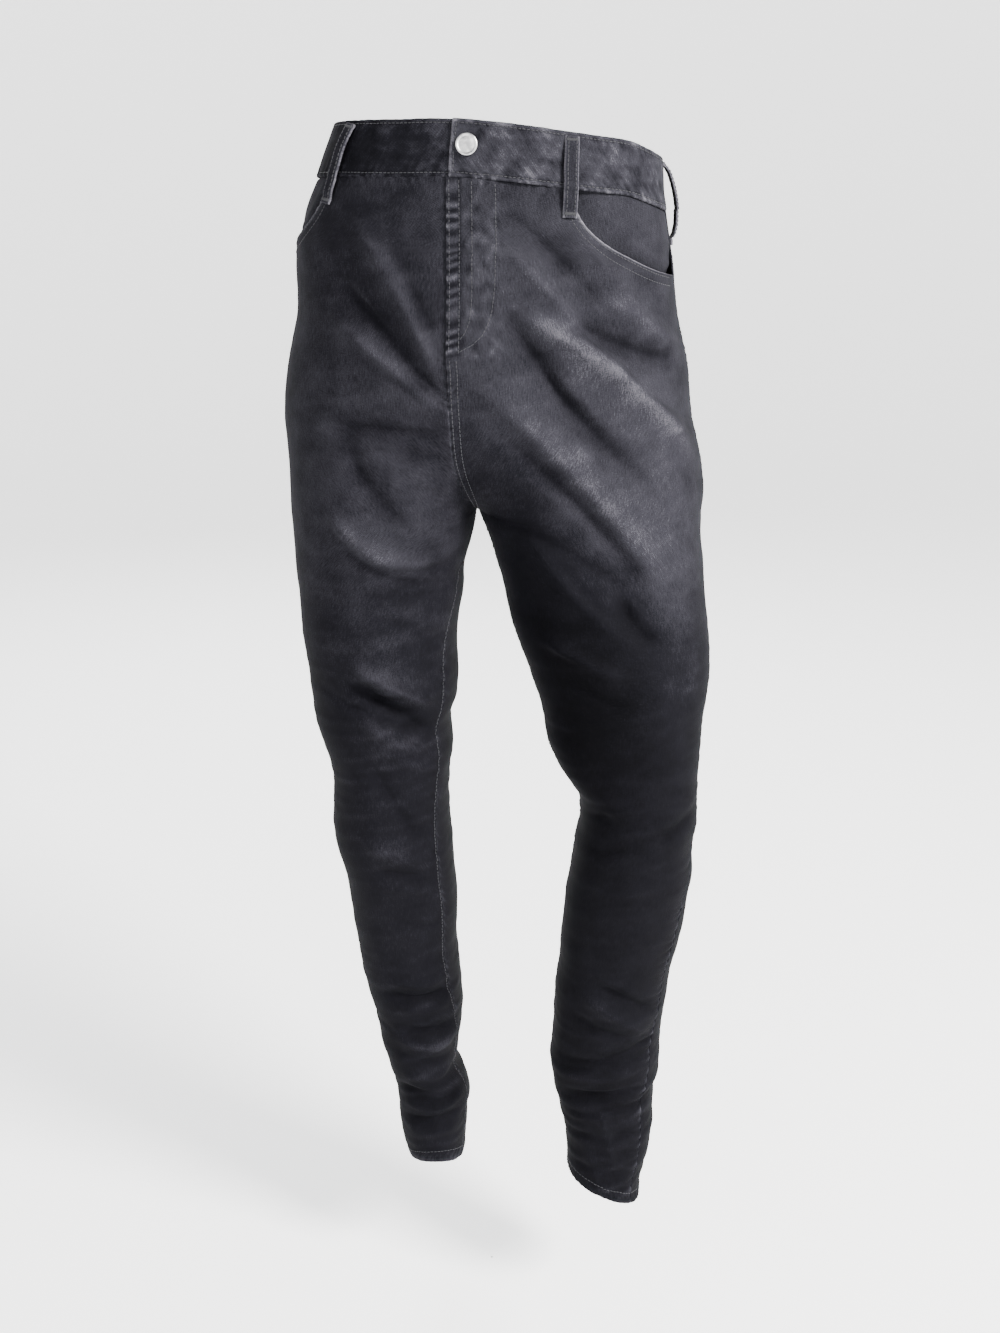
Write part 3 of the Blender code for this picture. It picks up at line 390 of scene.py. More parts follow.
# %% Folded skin
def facing_out(surface, side, k, z):
    """Outward direction of a surface of k and z."""
    step_k, step_z = 2e-4, 5e-5
    top = np.where(z > CROTCH + step_z, z + step_z, z)
    along = surface(side, k + step_k, z) - surface(side, k - step_k, z)
    down = surface(side, k, z - step_z) - surface(side, k, top)
    out = np.cross(down, along) * SIDE[side]
    return out / np.maximum(np.linalg.norm(out, axis=-1, keepdims=True), 1e-12)


CREST_LEAST = 3 * MM
FOLD_GAIN = 1.35
SOFT_SHARE, CREST_SHARE = 0.6, 0.4


def fold_depth(points, folds):
    """Height of all folds of a table at points, seen along Y: a soft bell and a sharper crest."""
    total = np.zeros(points.shape[:-1])
    for row in folds:
        x1, z1, x2, z2, sag, width, depth = (value * MM for value in row)
        length = math.hypot(x2 - x1, z2 - z1)
        along_x, along_z = (x2 - x1) / length, (z2 - z1) / length
        dx, dz = points[..., 0] - x1, points[..., 2] - z1
        t = (dx * along_x + dz * along_z) / length
        across = -dx * along_z + dz * along_x
        if along_x < 0:
            across = -across
        inside = np.clip(t, 0, 1)
        across = across - sag * 4 * inside * (1 - inside)
        ends = ramp(t, -0.12, 0.25) * ramp(t, 1.12, 0.75)
        crest = max(0.4 * width, CREST_LEAST)
        bell = SOFT_SHARE * np.exp(-(across / width) ** 2) + CREST_SHARE * np.exp(-(across / crest) ** 2)
        total += depth * ends * bell
    return total


def folds_at(points, out, k, z, fine):
    """Height of the folds, kept off the rise seam near the crotch and off the waistband."""
    front_table = FRONT_FOLDS + (FINE_FRONT_FOLDS if fine else ())
    back_table = BACK_FOLDS + (FINE_BACK_FOLDS if fine else ())
    moved = ramp(-out[..., 1], 0.15, 0.75) * fold_depth(points, front_table)
    moved = moved + ramp(out[..., 1], 0.15, 0.75) * fold_depth(points, back_table)
    moved = moved * FOLD_GAIN
    near_rise = np.exp(-(k / 0.15) ** 2) + np.exp(-((2 - k) / 0.15) ** 2)
    crotch = ramp(z, CROTCH + 0.11, CROTCH + 0.05) * ramp(z, CROTCH - 0.04, CROTCH)
    return moved * (1 - np.clip(near_rise, 0, 1) * crotch) * ramp(z, BAND_SEAM, BAND_SEAM - 0.03)


def skin(side, k, z, fine=True):
    """Outer face of one half with its folds and the lifted edge of the fly."""
    points = bare_skin(side, k, z)
    out = facing_out(bare_skin, side, k, z)
    moved = folds_at(points, out, k, z, fine)
    if side == "left":
        moved = moved + fly_lift(z, points[..., 0], k)
    return points + out * moved[..., None]


def skin_and_out(side, k, z):
    k, z = np.broadcast_arrays(np.asarray(k, dtype=float), np.asarray(z, dtype=float))
    return skin(side, k, z), facing_out(skin, side, k, z)


print("skin with folds ready")

# %% [markdown]
# ## Cloth as a mesh
# A cut piece is a fine grid of points on the skin. It becomes a thin closed shell: an outer face, an
# inner face and a rounded edge where the cloth is turned. A UV map in metres runs with the grain, so the
# twill keeps its scale, and a colour attribute carries the wear that the wash leaves on ridges and edges,
# together with painted highlights and painted shade.

# %% Shell builder
EDGE_ROUNDING = 0.35
INSIDE_WEAR = 0.3


def grain(points):
    """Metres across and along the cloth for each point of a grid."""
    step_across = np.linalg.norm(np.diff(points, axis=1), axis=-1)
    across = np.concatenate([np.zeros((len(points), 1)), np.cumsum(step_across, axis=1)], axis=1)
    across -= across[:, points.shape[1] // 2][:, None]
    step_down = np.linalg.norm(np.diff(points, axis=0), axis=-1)
    down = np.concatenate([np.zeros((1, points.shape[1])), np.cumsum(step_down, axis=0)], axis=0)
    return across, -down


def shell(name, outer, out, wall, wear_and_painted_light, material):
    """Closed thin shell on a grid of outer points, with a rounded edge; returns the new object."""
    rows, columns = outer.shape[:2]
    count = rows * columns
    wall = np.broadcast_to(np.asarray(wall, dtype=float), (rows, columns)).reshape(-1, 1)
    flat_outer, flat_out = outer.reshape(-1, 3), out.reshape(-1, 3)
    flat_inner = flat_outer - flat_out * wall
    index = np.arange(count).reshape(rows, columns)
    corners = [index[:-1, :-1], index[:-1, 1:], index[1:, 1:], index[1:, :-1]]
    quads = np.stack(corners, axis=-1).reshape(-1, 4)
    loop = np.concatenate([index[0, :-1], index[:-1, -1], index[-1, :0:-1], index[:0:-1, 0]])

    middle = (flat_outer[loop] + flat_inner[loop]) / 2
    along = np.roll(middle, -1, axis=0) - np.roll(middle, 1, axis=0)
    outward = np.cross(along, flat_out[loop])
    outward /= np.maximum(np.linalg.norm(outward, axis=-1, keepdims=True), 1e-12)
    if np.sum(outward[1:columns - 1] * (outer[0] - outer[1])[1:-1]) < 0:
        outward = -outward
    rim = middle + outward * wall[loop] * EDGE_ROUNDING

    rim_index = 2 * count + np.arange(len(loop))
    following = np.roll(np.arange(len(loop)), -1)
    strips = np.concatenate([
        np.stack([loop, rim_index, rim_index[following], loop[following]], axis=-1),
        np.stack([rim_index, loop + count, loop[following] + count, rim_index[following]], axis=-1),
    ])
    faces = np.concatenate([quads, quads[:, ::-1] + count, strips])
    vertices = np.concatenate([flat_outer, flat_inner, rim])
    a, b, c, d = (vertices[quads[:, corner]] for corner in range(4))
    if np.sum(np.cross(c - a, d - b) * flat_out[quads[:, 0]]) < 0:
        faces = faces[:, ::-1]

    across, down = grain(outer)
    uv = np.stack([across.reshape(-1), down.reshape(-1)], axis=-1)
    shade = wear_and_painted_light.reshape(-1)
    return cloth_object(name, vertices, faces, np.concatenate([uv, uv, uv[loop]]),
                        np.concatenate([shade, np.full(count, INSIDE_WEAR), shade[loop]]), material)


def mesh_object(name, vertices, faces, material):
    """Smooth object in the scene, from lists of vertices and faces."""
    mesh = bpy.data.meshes.new(name)
    mesh.from_pydata(vertices, [], faces)
    mesh.polygons.foreach_set("use_smooth", np.ones(len(mesh.polygons), dtype=bool))
    mesh.materials.append(material)
    made = bpy.data.objects.new(name, mesh)
    bpy.context.scene.collection.objects.link(made)
    return made


def cloth_object(name, vertices, faces, uv, wear_and_painted_light, material):
    """Object from arrays, with its grain as a UV map and its wear and painted light as an attribute."""
    piece = mesh_object(name, vertices.tolist(), faces.tolist(), material)
    mesh = piece.data
    corners = np.empty(len(mesh.loops), dtype=np.int32)
    mesh.loops.foreach_get("vertex_index", corners)
    layer = mesh.uv_layers.new(name="grain")
    layer.data.foreach_set("uv", uv[corners].astype(np.float32).reshape(-1))
    # The attribute holds the wash wear together with painted highlights and painted shade.
    paint = mesh.attributes.new("wear_and_painted_light", "FLOAT", "POINT")
    paint.data.foreach_set("value", wear_and_painted_light.astype(np.float32))
    return piece


print("shell builder ready")

# %% [markdown]
# ## Washed black twill
# The cloth was black and lost colour in the wash. Its warp shows fine diagonal ribs, uneven yarns and
# pale specks. The wear attribute, with painted highlights and painted shade in it, drives one colour ramp
# from unfaded to faded; the ribs, yarns and specks only nudge it. The same ribs and yarns drive the bump.

# %% Material helpers
def linked(tree, kind, **inputs):
    """New node with its inputs linked or set by socket name, or by number as i0, i1 and i2."""
    made = tree.nodes.new(kind)
    for socket, value in inputs.items():
        numbered = socket[0] == "i" and socket[1:].isdigit()
        place = made.inputs[int(socket[1:]) if numbered else socket]
        if isinstance(value, bpy.types.NodeSocket):
            tree.links.new(value, place)
        else:
            place.default_value = value
    return made


def maths(tree, operation, first, second=0.0, third=0.0):
    made = linked(tree, "ShaderNodeMath", i0=first, i1=second, i2=third)
    made.operation = operation
    return made.outputs[0]


def noise(tree, vector, size, detail=2.0):
    """Noise from 0 to 1 with patches of a size in metres."""
    made = linked(tree, "ShaderNodeTexNoise", Vector=vector, Scale=1.0 / size, Detail=detail)
    return made.outputs["Fac"]


def scaled(tree, vector, scale, turn=0.0):
    made = linked(tree, "ShaderNodeMapping", Vector=vector, Scale=scale, Rotation=(0.0, 0.0, turn))
    return made.outputs["Vector"]


def new_material(name):
    material = bpy.data.materials.new(name)
    material.use_nodes = True
    return material, material.node_tree, material.node_tree.nodes["Principled BSDF"]


print("material helpers ready")

# %% Denim
TWILL_PITCH = 1.15 * MM
TWILL_TURN = math.radians(63)
YARN_FADE, SPECK_FADE, MOTTLE_FADE, RIB_FADE = 0.34, 0.40, 0.22, 0.025
FADE_MEAN = 0.48
# value of wear with painted highlights and shade, colour
FADE_COLOURS = (
    (0.00, (0.0008, 0.0008, 0.0013)), (0.30, (0.0038, 0.0038, 0.0053)),
    (0.55, (0.0190, 0.0186, 0.0232)), (1.00, (0.1350, 0.1310, 0.1490)),
)


def denim():
    material, tree, shader = new_material("washed_black_twill")
    grain_map = linked(tree, "ShaderNodeUVMap")
    grain_map.uv_map = "grain"
    grain_uv = grain_map.outputs["UV"]
    place = linked(tree, "ShaderNodeTexCoord").outputs["Object"]
    wear_and_painted_light = linked(tree, "ShaderNodeAttribute")
    wear_and_painted_light.attribute_name = "wear_and_painted_light"

    wobble = noise(tree, grain_uv, 6 * MM)
    turned = linked(tree, "ShaderNodeSeparateXYZ", Vector=scaled(tree, grain_uv, (1, 1, 1), TWILL_TURN))
    ribs = maths(tree, "MULTIPLY_ADD", turned.outputs["X"], 2 * math.pi / TWILL_PITCH, wobble)
    ribs = maths(tree, "SINE", ribs)
    yarns = noise(tree, scaled(tree, grain_uv, (1.0, 0.12, 1.0)), 0.8 * MM)
    specks = noise(tree, grain_uv, 1.1 * MM, 4.0)
    mottle = noise(tree, place, 22 * MM, 3.0)

    fade = wear_and_painted_light.outputs["Fac"]
    nudges = ((yarns, YARN_FADE), (specks, SPECK_FADE), (mottle, MOTTLE_FADE), (ribs, RIB_FADE))
    for pattern, share in nudges:
        fade = maths(tree, "MULTIPLY_ADD", pattern, share, fade)
    fade = maths(tree, "SUBTRACT", fade, FADE_MEAN)
    ramp_node = linked(tree, "ShaderNodeValToRGB", Fac=fade)
    stops = ramp_node.color_ramp.elements
    while len(stops) < len(FADE_COLOURS):
        stops.new(0.5)
    for stop, (position, colour) in zip(stops, FADE_COLOURS):
        stop.position = position
        stop.color = (*colour, 1.0)
    tree.links.new(ramp_node.outputs["Color"], shader.inputs["Base Color"])

    height = maths(tree, "MULTIPLY_ADD", ribs, 0.25, yarns)
    height = maths(tree, "MULTIPLY_ADD", specks, 0.6, height)
    bump = linked(tree, "ShaderNodeBump", Height=height, Strength=0.45, Distance=0.25 * MM)
    tree.links.new(bump.outputs["Normal"], shader.inputs["Normal"])
    rough = maths(tree, "MULTIPLY_ADD", specks, 0.12, 0.78)
    tree.links.new(rough, shader.inputs["Roughness"])
    shader.inputs["Specular IOR Level"].default_value = 0.04
    return material


DENIM = denim()
print("denim with", len(DENIM.node_tree.nodes), "nodes")

# %% Thread and metal
def thread():
    """Dark spun thread with its twist as a fine bump."""
    material, tree, shader = new_material("tonal_thread")
    place = linked(tree, "ShaderNodeTexCoord").outputs["Object"]
    lint = noise(tree, place, 0.7 * MM)
    colour = linked(tree, "ShaderNodeValToRGB", Fac=lint)
    colour.color_ramp.elements[0].color = (0.006, 0.006, 0.008, 1.0)
    colour.color_ramp.elements[1].color = (0.030, 0.030, 0.034, 1.0)
    tree.links.new(colour.outputs["Color"], shader.inputs["Base Color"])
    twist = linked(tree, "ShaderNodeBump", Height=lint, Strength=0.4, Distance=0.1 * MM)
    tree.links.new(twist.outputs["Normal"], shader.inputs["Normal"])
    shader.inputs["Roughness"].default_value = 0.62
    shader.inputs["Specular IOR Level"].default_value = 0.3
    return material


def button_metal():
    """Satin nickel, rubbed brighter in places and dulled in others."""
    material, tree, shader = new_material("satin_button_metal")
    place = linked(tree, "ShaderNodeTexCoord").outputs["Object"]
    rubbed = noise(tree, place, 3.0 * MM, 4.0)
    colour = linked(tree, "ShaderNodeValToRGB", Fac=rubbed)
    colour.color_ramp.elements[0].position = 0.3
    colour.color_ramp.elements[0].color = (0.34, 0.34, 0.35, 1.0)
    colour.color_ramp.elements[1].position = 0.7
    colour.color_ramp.elements[1].color = (0.66, 0.65, 0.64, 1.0)
    tree.links.new(colour.outputs["Color"], shader.inputs["Base Color"])
    tree.links.new(maths(tree, "MULTIPLY_ADD", rubbed, 0.25, 0.25), shader.inputs["Roughness"])
    scratch = noise(tree, scaled(tree, place, (1.0, 0.2, 1.0)), 0.5 * MM, 3.0)
    bump = linked(tree, "ShaderNodeBump", Height=scratch, Strength=0.2, Distance=0.05 * MM)
    tree.links.new(bump.outputs["Normal"], shader.inputs["Normal"])
    shader.inputs["Metallic"].default_value = 1.0
    return material


THREAD = thread()
BUTTON_METAL = button_metal()
print("thread and metal ready")

# %% [markdown]
# ## Puckers, creases, wash and painted light
# A lockstitch seam shrinks more than the cloth beside it, so a short slanting wave runs along every
# sewn edge. The wash fades what stands out, the crests of the waves, and their troughs get painted shade.
# Painted highlights, with some wash fade, and painted shade lie on the fronts of the hips and thighs,
# and painted shade darkens the lower legs.

# %% Relief, wear and painted light helpers
# wave, height, fade away from the seam (mm)
PUCKERS = {
    "front inseam": (7.5, 0.62, 9), "front rise": (6.4, 0.45, 8), "front side": (8.5, 0.34, 9),
    "front waist": (8.0, 0.35, 9), "pocket opening": (6.0, 0.30, 6),
    "back inseam": (7.5, 0.42, 7), "back rise": (6.8, 0.40, 8), "back side": (8.5, 0.32, 8),
    "back yoke": (8.0, 0.30, 8), "yoke foot": (7.0, 0.40, 8), "yoke waist": (8.0, 0.30, 8),
    "yoke rise": (7.0, 0.35, 7), "facing side": (8.0, 0.25, 7), "patch edge": (6.5, 0.30, 5),
    "band seam": (7.5, 0.42, 9), "band top": (9.0, 0.30, 8), "loop edge": (4.2, 0.18, 2.5),
}


def pucker(along, distance, wave, height, fade, lean=0.45):
    """Slanting wave along an edge that dies away from it."""
    phase = (along + lean * distance) / wave
    uneven = 0.22 * np.sin(phase * 1.7 + 0.6) + 0.35 * np.sin(phase * 0.61 + 2.0)
    strength = 0.75 + 0.25 * np.sin(phase * 1.13 + 4.0)
    return height * strength * np.sin(2 * math.pi * (phase + uneven)) * np.exp(-distance / fade)


def puckered(seam, along, distance, lean=0.45):
    """The wave of a named seam."""
    wave, height, fade = (value * MM for value in PUCKERS[seam])
    return pucker(along, distance, wave, height, fade, lean)


def ladder(along, distance, wave, height, width, lean=0.6):
    """Wave that fills a sewn-down strip and stops at its stitch line."""
    return pucker(along, distance, wave, height, 10.0, lean) * ramp(distance, width * 1.15, width * 0.8)


def groove(distance, at, depth, width=0.8 * MM):
    return -depth * np.exp(-((distance - at) / width) ** 2)


def ripples(points, seed, wave, count=16, level=0.35):
    """Sum of soft waves that run mostly level, about -1 to 1, the same on every run."""
    draw = np.random.default_rng(seed)
    total = np.zeros(points.shape[:-1])
    for _ in range(count):
        turn = draw.normal(0.0, level)
        length = wave * draw.uniform(0.6, 1.6)
        phase = draw.uniform(0, 2 * math.pi)
        across = points[..., 2] * math.cos(turn) + points[..., 0] * math.sin(turn)
        across = across + 0.5 * points[..., 1] * turn
        total += np.sin(2 * math.pi * across / length + phase)
    return total / math.sqrt(count)


def spot(x, z, middle_x, middle_z, half_width, half_height, slope=0.0):
    """Soft oval patch, 1 in its middle; its slope moves the middle along X as z falls."""
    across = x - middle_x + slope * (z - middle_z)
    return np.exp(-((across / half_width) ** 2 + ((z - middle_z) / half_height) ** 2))


# Painted highlights, with some wash fade, and painted shade (below 0) on the fronts of hips and thighs.
# how much paler, middle x, middle z, half width, half height (m), slope of the middle
WASH_AND_PAINTED_LIGHT_SPOTS = (
    (0.07, -0.092, -0.42, 0.035, 0.20, 0.0), (0.10, 0.075, -0.23, 0.055, 0.15, 0.30),
    (0.07, 0.145, -0.30, 0.030, 0.14, 0.0), (-0.25, 0.050, -0.36, 0.045, 0.12, 0.30),
    (-0.11, -0.10, -0.07, 0.06, 0.07, 0.0), (-0.18, 0.100, -0.41, 0.045, 0.08, 0.0),
    (-0.05, -0.09, -0.36, 0.05, 0.10, 0.0),
)
BASE_WEAR = 0.40
LOW_LEG_PAINTED_SHADE, LOW_LEFT_PAINTED_SHADE = 0.17, 0.05
CREST_WEAR_AND_TROUGH_SHADE, CREST_LIMIT = 0.16, 2.0
RELIEF_WEAR_AND_SHADE, FOLD_WEAR_AND_SHADE = 0.8, 0.12


def wash_and_painted_light(points, out, relief):
    """Worn crests plus painted light: highlights and shade on the fronts, shade in troughs and low down."""
    x, z = points[..., 0], points[..., 2]
    front = ramp(-out[..., 1], 0.1, 0.8)
    # Painted highlights and shade, only on cloth that faces the front.
    patches = sum(paler_and_painted_shade * spot(x, z, *place) for paler_and_painted_shade, *place in WASH_AND_PAINTED_LIGHT_SPOTS)
    # Painted shade: darker down the lower legs, more on the wearer's left leg.
    lower = LOW_LEG_PAINTED_SHADE * ramp(z, -0.26, -0.48)
    lower = lower + LOW_LEFT_PAINTED_SHADE * ramp(z, -0.40, -0.52) * ramp(x, 0.0, 0.04)
    # Crests paler from wear, troughs darker as painted shade.
    crest_wear_and_trough_shade = np.clip(relief / MM, -CREST_LIMIT, CREST_LIMIT) * CREST_WEAR_AND_TROUGH_SHADE
    return BASE_WEAR + front * patches - lower + crest_wear_and_trough_shade


print("relief helpers ready")

# %% [markdown]
# ## Rows and columns
# The grid is close at the fly, the pocket and the edges, where the small forms are, and wider elsewhere.

# %% Grid helpers
FLY_ROW, HIP_ROW, LEG_ROW = 1.15 * MM, 1.6 * MM, 2.2 * MM
POCKET_ROWS = 66
FRONT_COLUMNS, BACK_COLUMNS = 84, 72
YOKE_ROWS = 40


def shares_across(count):
    """Shares across a panel, closer together at both edges."""
    even = np.linspace(0, 1, count + 1)
    return 0.45 * even + 0.55 * (1 - np.cos(math.pi * even)) / 2


def stepped(start, stop, step):
    """Heights from start to just before stop in equal steps of about the given size."""
    return np.linspace(start, stop, max(2, round(abs(stop - start) / step)) + 1)[:-1]


def pocket_start(side):
    """Share of the front, at the waistband, where the pocket opening starts."""
    hip, _, middle, turns, _, _ = section(side, np.array(BAND_SEAM))
    turn = direction(SIDE[side], *middle, *ring(*hip, math.radians(POCKET_ANGLE[side])), -9.0)
    return float((turn - turns["first"]) / (turns["half"] - turns["first"]))


def opening_share(down):
    """Width of the pocket opening, from 1 at the waistband to 0 at its lowest point."""
    return (1 - np.clip(down, 0.0, 1.0) ** POCKET_ROUND) ** (1 / POCKET_ROUND)


def pocket_edge(side, z):
    """Share of the front that is left beside the pocket opening."""
    return 1 - (1 - pocket_start(side)) * opening_share((BAND_SEAM - z) / POCKET_DEPTH)


def toward_edge(side, k, z):
    """0 at the corner of waistband and side seam, 1 on the edge of the opening, more under the front."""
    across = (1 - k) / (1 - pocket_start(side))
    down = np.clip((BAND_SEAM - z) / POCKET_DEPTH, 0.0, None)
    return across ** POCKET_ROUND + down ** POCKET_ROUND


def trim(points, edges):
    """Pull the named edges of a grid in by half a seam gap."""
    moved = points.copy()
    pull = {"top": (np.s_[0], np.s_[1]), "bottom": (np.s_[-1], np.s_[-2]),
            "first": (np.s_[:, 0], np.s_[:, 1]), "last": (np.s_[:, -1], np.s_[:, -2])}
    for edge in edges:
        at, toward = pull[edge]
        step = points[toward] - points[at]
        moved[at] += step / np.linalg.norm(step, axis=-1, keepdims=True) * SEAM_GAP / 2
    return moved


def lengths(points):
    """Distances across from the first and last edge, down from the top and up from the bottom."""
    across, down = grain(points)
    return {"first": across - across[:, :1], "last": across[:, -1:] - across,
            "top": -down, "bottom": down - down[-1:, :]}


def cut_piece(name, outer, out, wall, wear_and_painted_light, rows):
    """A piece of denim with the grid that its seams and sizes are measured on."""
    piece = shell(name, outer, out, wall, wear_and_painted_light, DENIM)
    return {"piece": piece, "points": outer, "out": out, "rows": rows}


def trimmed_leg(points, rows):
    """Trim a leg panel: the rise edges already have their gap, the inseam edges don't."""
    moved = trim(points, ["top", "last"] if rows[0] > YOKE_SIDE else ["top", "first"])
    low = rows <= CROTCH
    moved[low] = trim(points, ["first", "last"])[low]
    return moved


print("grid helpers ready")

# %% [markdown]
# ## Front legs
# Each front is one long piece from the waistband to the hem, cut away at the hip for the pocket. Its
# rise edge shows the fly: a strip where the cloth is lapped and sewn down ripples like a ladder.

# %% Front panels
HEM_STITCH = HEM_DEPTH - 1.8 * MM
FLY_RUNG, FLY_STRIP, FLY_LEAN = 8.4 * MM, 9 * MM, 0.15
CALF_PUCKER_FROM, CALF_PUCKER_FULL, CALF_PUCKER_GAIN = -420 * MM, -560 * MM, 1.2


def at_hem(away):
    """1 where the end of the leg is turned up double, 0 above it."""
    return ramp(away["bottom"], HEM_DEPTH + 1.0 * MM, HEM_DEPTH - 0.6 * MM)


def at_fly(z):
    """1 at the height of the fly, 0 below it."""
    return ramp(z, FLY_LAP_END - 6 * MM, FLY_LAP_END)


def at_pocket(z):
    """1 at the height of the pocket opening, 0 below it."""
    return ramp(z, BAND_SEAM - POCKET_DEPTH - 1 * MM, BAND_SEAM - POCKET_DEPTH + 1 * MM)


def at_calf(z):
    """0 above the knee, 1 from the calf down."""
    return ramp(z, CALF_PUCKER_FROM, CALF_PUCKER_FULL)


def hem_relief(away):
    """The turned-up end stands out a little and ropes along its stitch line."""
    step = (HEM_WALL - WALL) / 2 * at_hem(away)
    roping = ladder(away["first"], away["bottom"], 6.5 * MM, 0.40 * MM, HEM_DEPTH)
    return step + roping + groove(away["bottom"], HEM_STITCH, 0.35 * MM)


def front_relief(side, away, points, z):
    """Small forms of a front: fly or rise, inseam, pocket edge, side seam, hem and creases."""
    down, first, last = away["top"], away["first"], away["last"]
    fly, pocket = at_fly(z), at_pocket(z)
    rise = (1 - fly) * ramp(z, CROTCH, CROTCH + 12 * MM)
    inseam = ramp(z, CROTCH + 4 * MM, CROTCH)
    side_seam = (1 - pocket) * (1 + CALF_PUCKER_GAIN * at_calf(z))
    relief = inseam * puckered("front inseam", down, first)
    if side == "left":
        relief = relief + fly * ladder(down, first, FLY_RUNG, 0.55 * MM, FLY_STRIP, FLY_LEAN)
        relief = relief + fly * groove(first, 9.6 * MM, 0.7 * MM, 1.2 * MM)
    relief = relief + rise * puckered("front rise", down, first)
    relief = relief + pocket * puckered("pocket opening", down, last)
    relief = relief + side_seam * puckered("front side", down, last)
    relief = relief + puckered("front waist", first, down)
    return relief + hem_relief(away) + creases(points, z)


def creases(points, z):
    """Faint level creases, stronger behind the knee height and above the hems."""
    knee = np.exp(-((z + 0.50) / 0.10) ** 2)
    ankle = ramp(z, -0.64, -0.80)
    soft = 0.12 * MM * ripples(points, 3, 34 * MM, level=0.6)
    sharp = np.clip(ripples(points, 5, 17 * MM, level=0.25), -0.4, 2.0)
    return soft + (0.08 + 0.22 * knee + 0.45 * ankle) * MM * sharp


def leg_wall(away):
    return WALL + (HEM_WALL - WALL) * at_hem(away)


def leg_wash_and_painted_light(points, out, k, z, relief):
    """Wear and painted light of a leg, which follow its small forms and, less, its large folds."""
    folds = folds_at(points, out, k, z, True)
    return wash_and_painted_light(points, out, relief * RELIEF_WEAR_AND_SHADE + folds * FOLD_WEAR_AND_SHADE)


def front_panel(side):
    rows = np.concatenate([
        BAND_SEAM - POCKET_DEPTH * np.sin(np.linspace(0, math.pi / 2, POCKET_ROWS))[:-1],
        stepped(BAND_SEAM - POCKET_DEPTH, FLY_LIFT_END, FLY_ROW),
        stepped(FLY_LIFT_END, CROTCH, HIP_ROW),
        stepped(CROTCH, HEM[side], LEG_ROW), [HEM[side]],
    ])
    z = np.repeat(rows[:, None], FRONT_COLUMNS + 1, axis=1)
    k = shares_across(FRONT_COLUMNS)[None, :] * pocket_edge(side, rows)[:, None]
    points, out = skin_and_out(side, k, z)
    points = trimmed_leg(points, rows)
    away = lengths(points)
    relief = front_relief(side, away, points, z)
    outer = points + out * relief[..., None]
    wear_and_painted_light = leg_wash_and_painted_light(points, out, k, z, relief) + edge_fade(away, z) + pocket_fade(away, z)
    if side == "left":
        wear_and_painted_light = wear_and_painted_light + fly_fade(away, points, z)
    return cut_piece("front_panel_" + side, outer, out, leg_wall(away), wear_and_painted_light, rows)


def edge_fade(away, z):
    """Paler lines where the wash has rubbed the turned edges, widest on the calf's side seam."""
    down = away["top"]
    broken = 0.6 + 0.4 * np.sin(2 * math.pi * down / (9 * MM) + 2 * np.sin(down / (31 * MM)))
    first = np.exp(-away["first"] / (1.6 * MM)) * broken
    last = np.exp(-away["last"] / (1.6 * MM)) * broken
    hem = np.exp(-away["bottom"] / (1.5 * MM))
    seam = at_calf(z) * np.exp(-away["last"] / (3.5 * MM)) * broken
    return 0.16 * first + 0.12 * last + 0.14 * hem + 0.24 * seam


def pocket_fade(away, z):
    """Pale line along the rolled edge of a pocket opening."""
    return 0.34 * at_pocket(z) * np.exp(-away["last"] / (2.4 * MM))


def fly_fade(away, points, z):
    """Rungs rubbed pale on the sewn-down strip, and pale patches on the fly beside it."""
    rungs = 0.02 + ladder(away["top"], away["first"], FLY_RUNG, 0.10, FLY_STRIP, FLY_LEAN)
    strip = ramp(away["first"], 11 * MM, 9 * MM) * rungs
    next_to_it = ramp(away["first"], 10 * MM, 12 * MM) * ramp(away["first"], 52 * MM, 30 * MM)
    patches = 0.03 + 0.07 * ripples(points, 21, 13 * MM, level=1.4)
    return at_fly(z) * (strip + next_to_it * patches)


FRONT = {side: front_panel(side) for side in ("right", "left")}
for side, panel in FRONT.items():
    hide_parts("front_" + side)
    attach(panel["piece"], "root")
    print("front", side, panel["points"].shape, "polygons", len(panel["piece"].data.polygons))

# %% [markdown]
# ## Backs and yokes
# The back leg meets a yoke, a shaped piece that takes the place of darts. Both lie on the same skin and
# share the slanting line between them.

# %% Back panels and yokes
def dropped(heights, k):
    """Heights on the back, which sink towards the middle seam as the yoke line does."""
    drop = np.interp(heights, [YOKE_FADE, YOKE_SIDE, BAND_SEAM], [0.0, 1.0, 0.0])
    return heights - YOKE_DROP * drop * (k - 1)


def back_relief(away, points, z):
    inseam = ramp(z, CROTCH + 4 * MM, CROTCH)
    relief = inseam * puckered("back inseam", away["top"], away["last"])
    relief = relief + (1 - inseam) * puckered("back rise", away["top"], away["last"])
    relief = relief + puckered("back side", away["top"], away["first"])
    relief = relief + puckered("back yoke", away["first"], away["top"])
    return relief + hem_relief(away) + creases(points, z)


def back_panel(side):
    rows = np.concatenate([
        stepped(YOKE_SIDE, CROTCH, HIP_ROW),
        stepped(CROTCH, HEM[side], LEG_ROW), [HEM[side]],
    ])
    k = 1 + np.repeat(shares_across(BACK_COLUMNS)[None, :], len(rows), axis=0)
    z = dropped(rows[:, None], k)
    points, out = skin_and_out(side, k, z)
    points = trimmed_leg(points, rows)
    away = lengths(points)
    relief = back_relief(away, points, z)
    outer = points + out * relief[..., None]
    wear_and_painted_light = leg_wash_and_painted_light(points, out, k, z, relief) + edge_fade(away, z) * 0.7
    return cut_piece("back_panel_" + side, outer, out, leg_wall(away), wear_and_painted_light, rows)


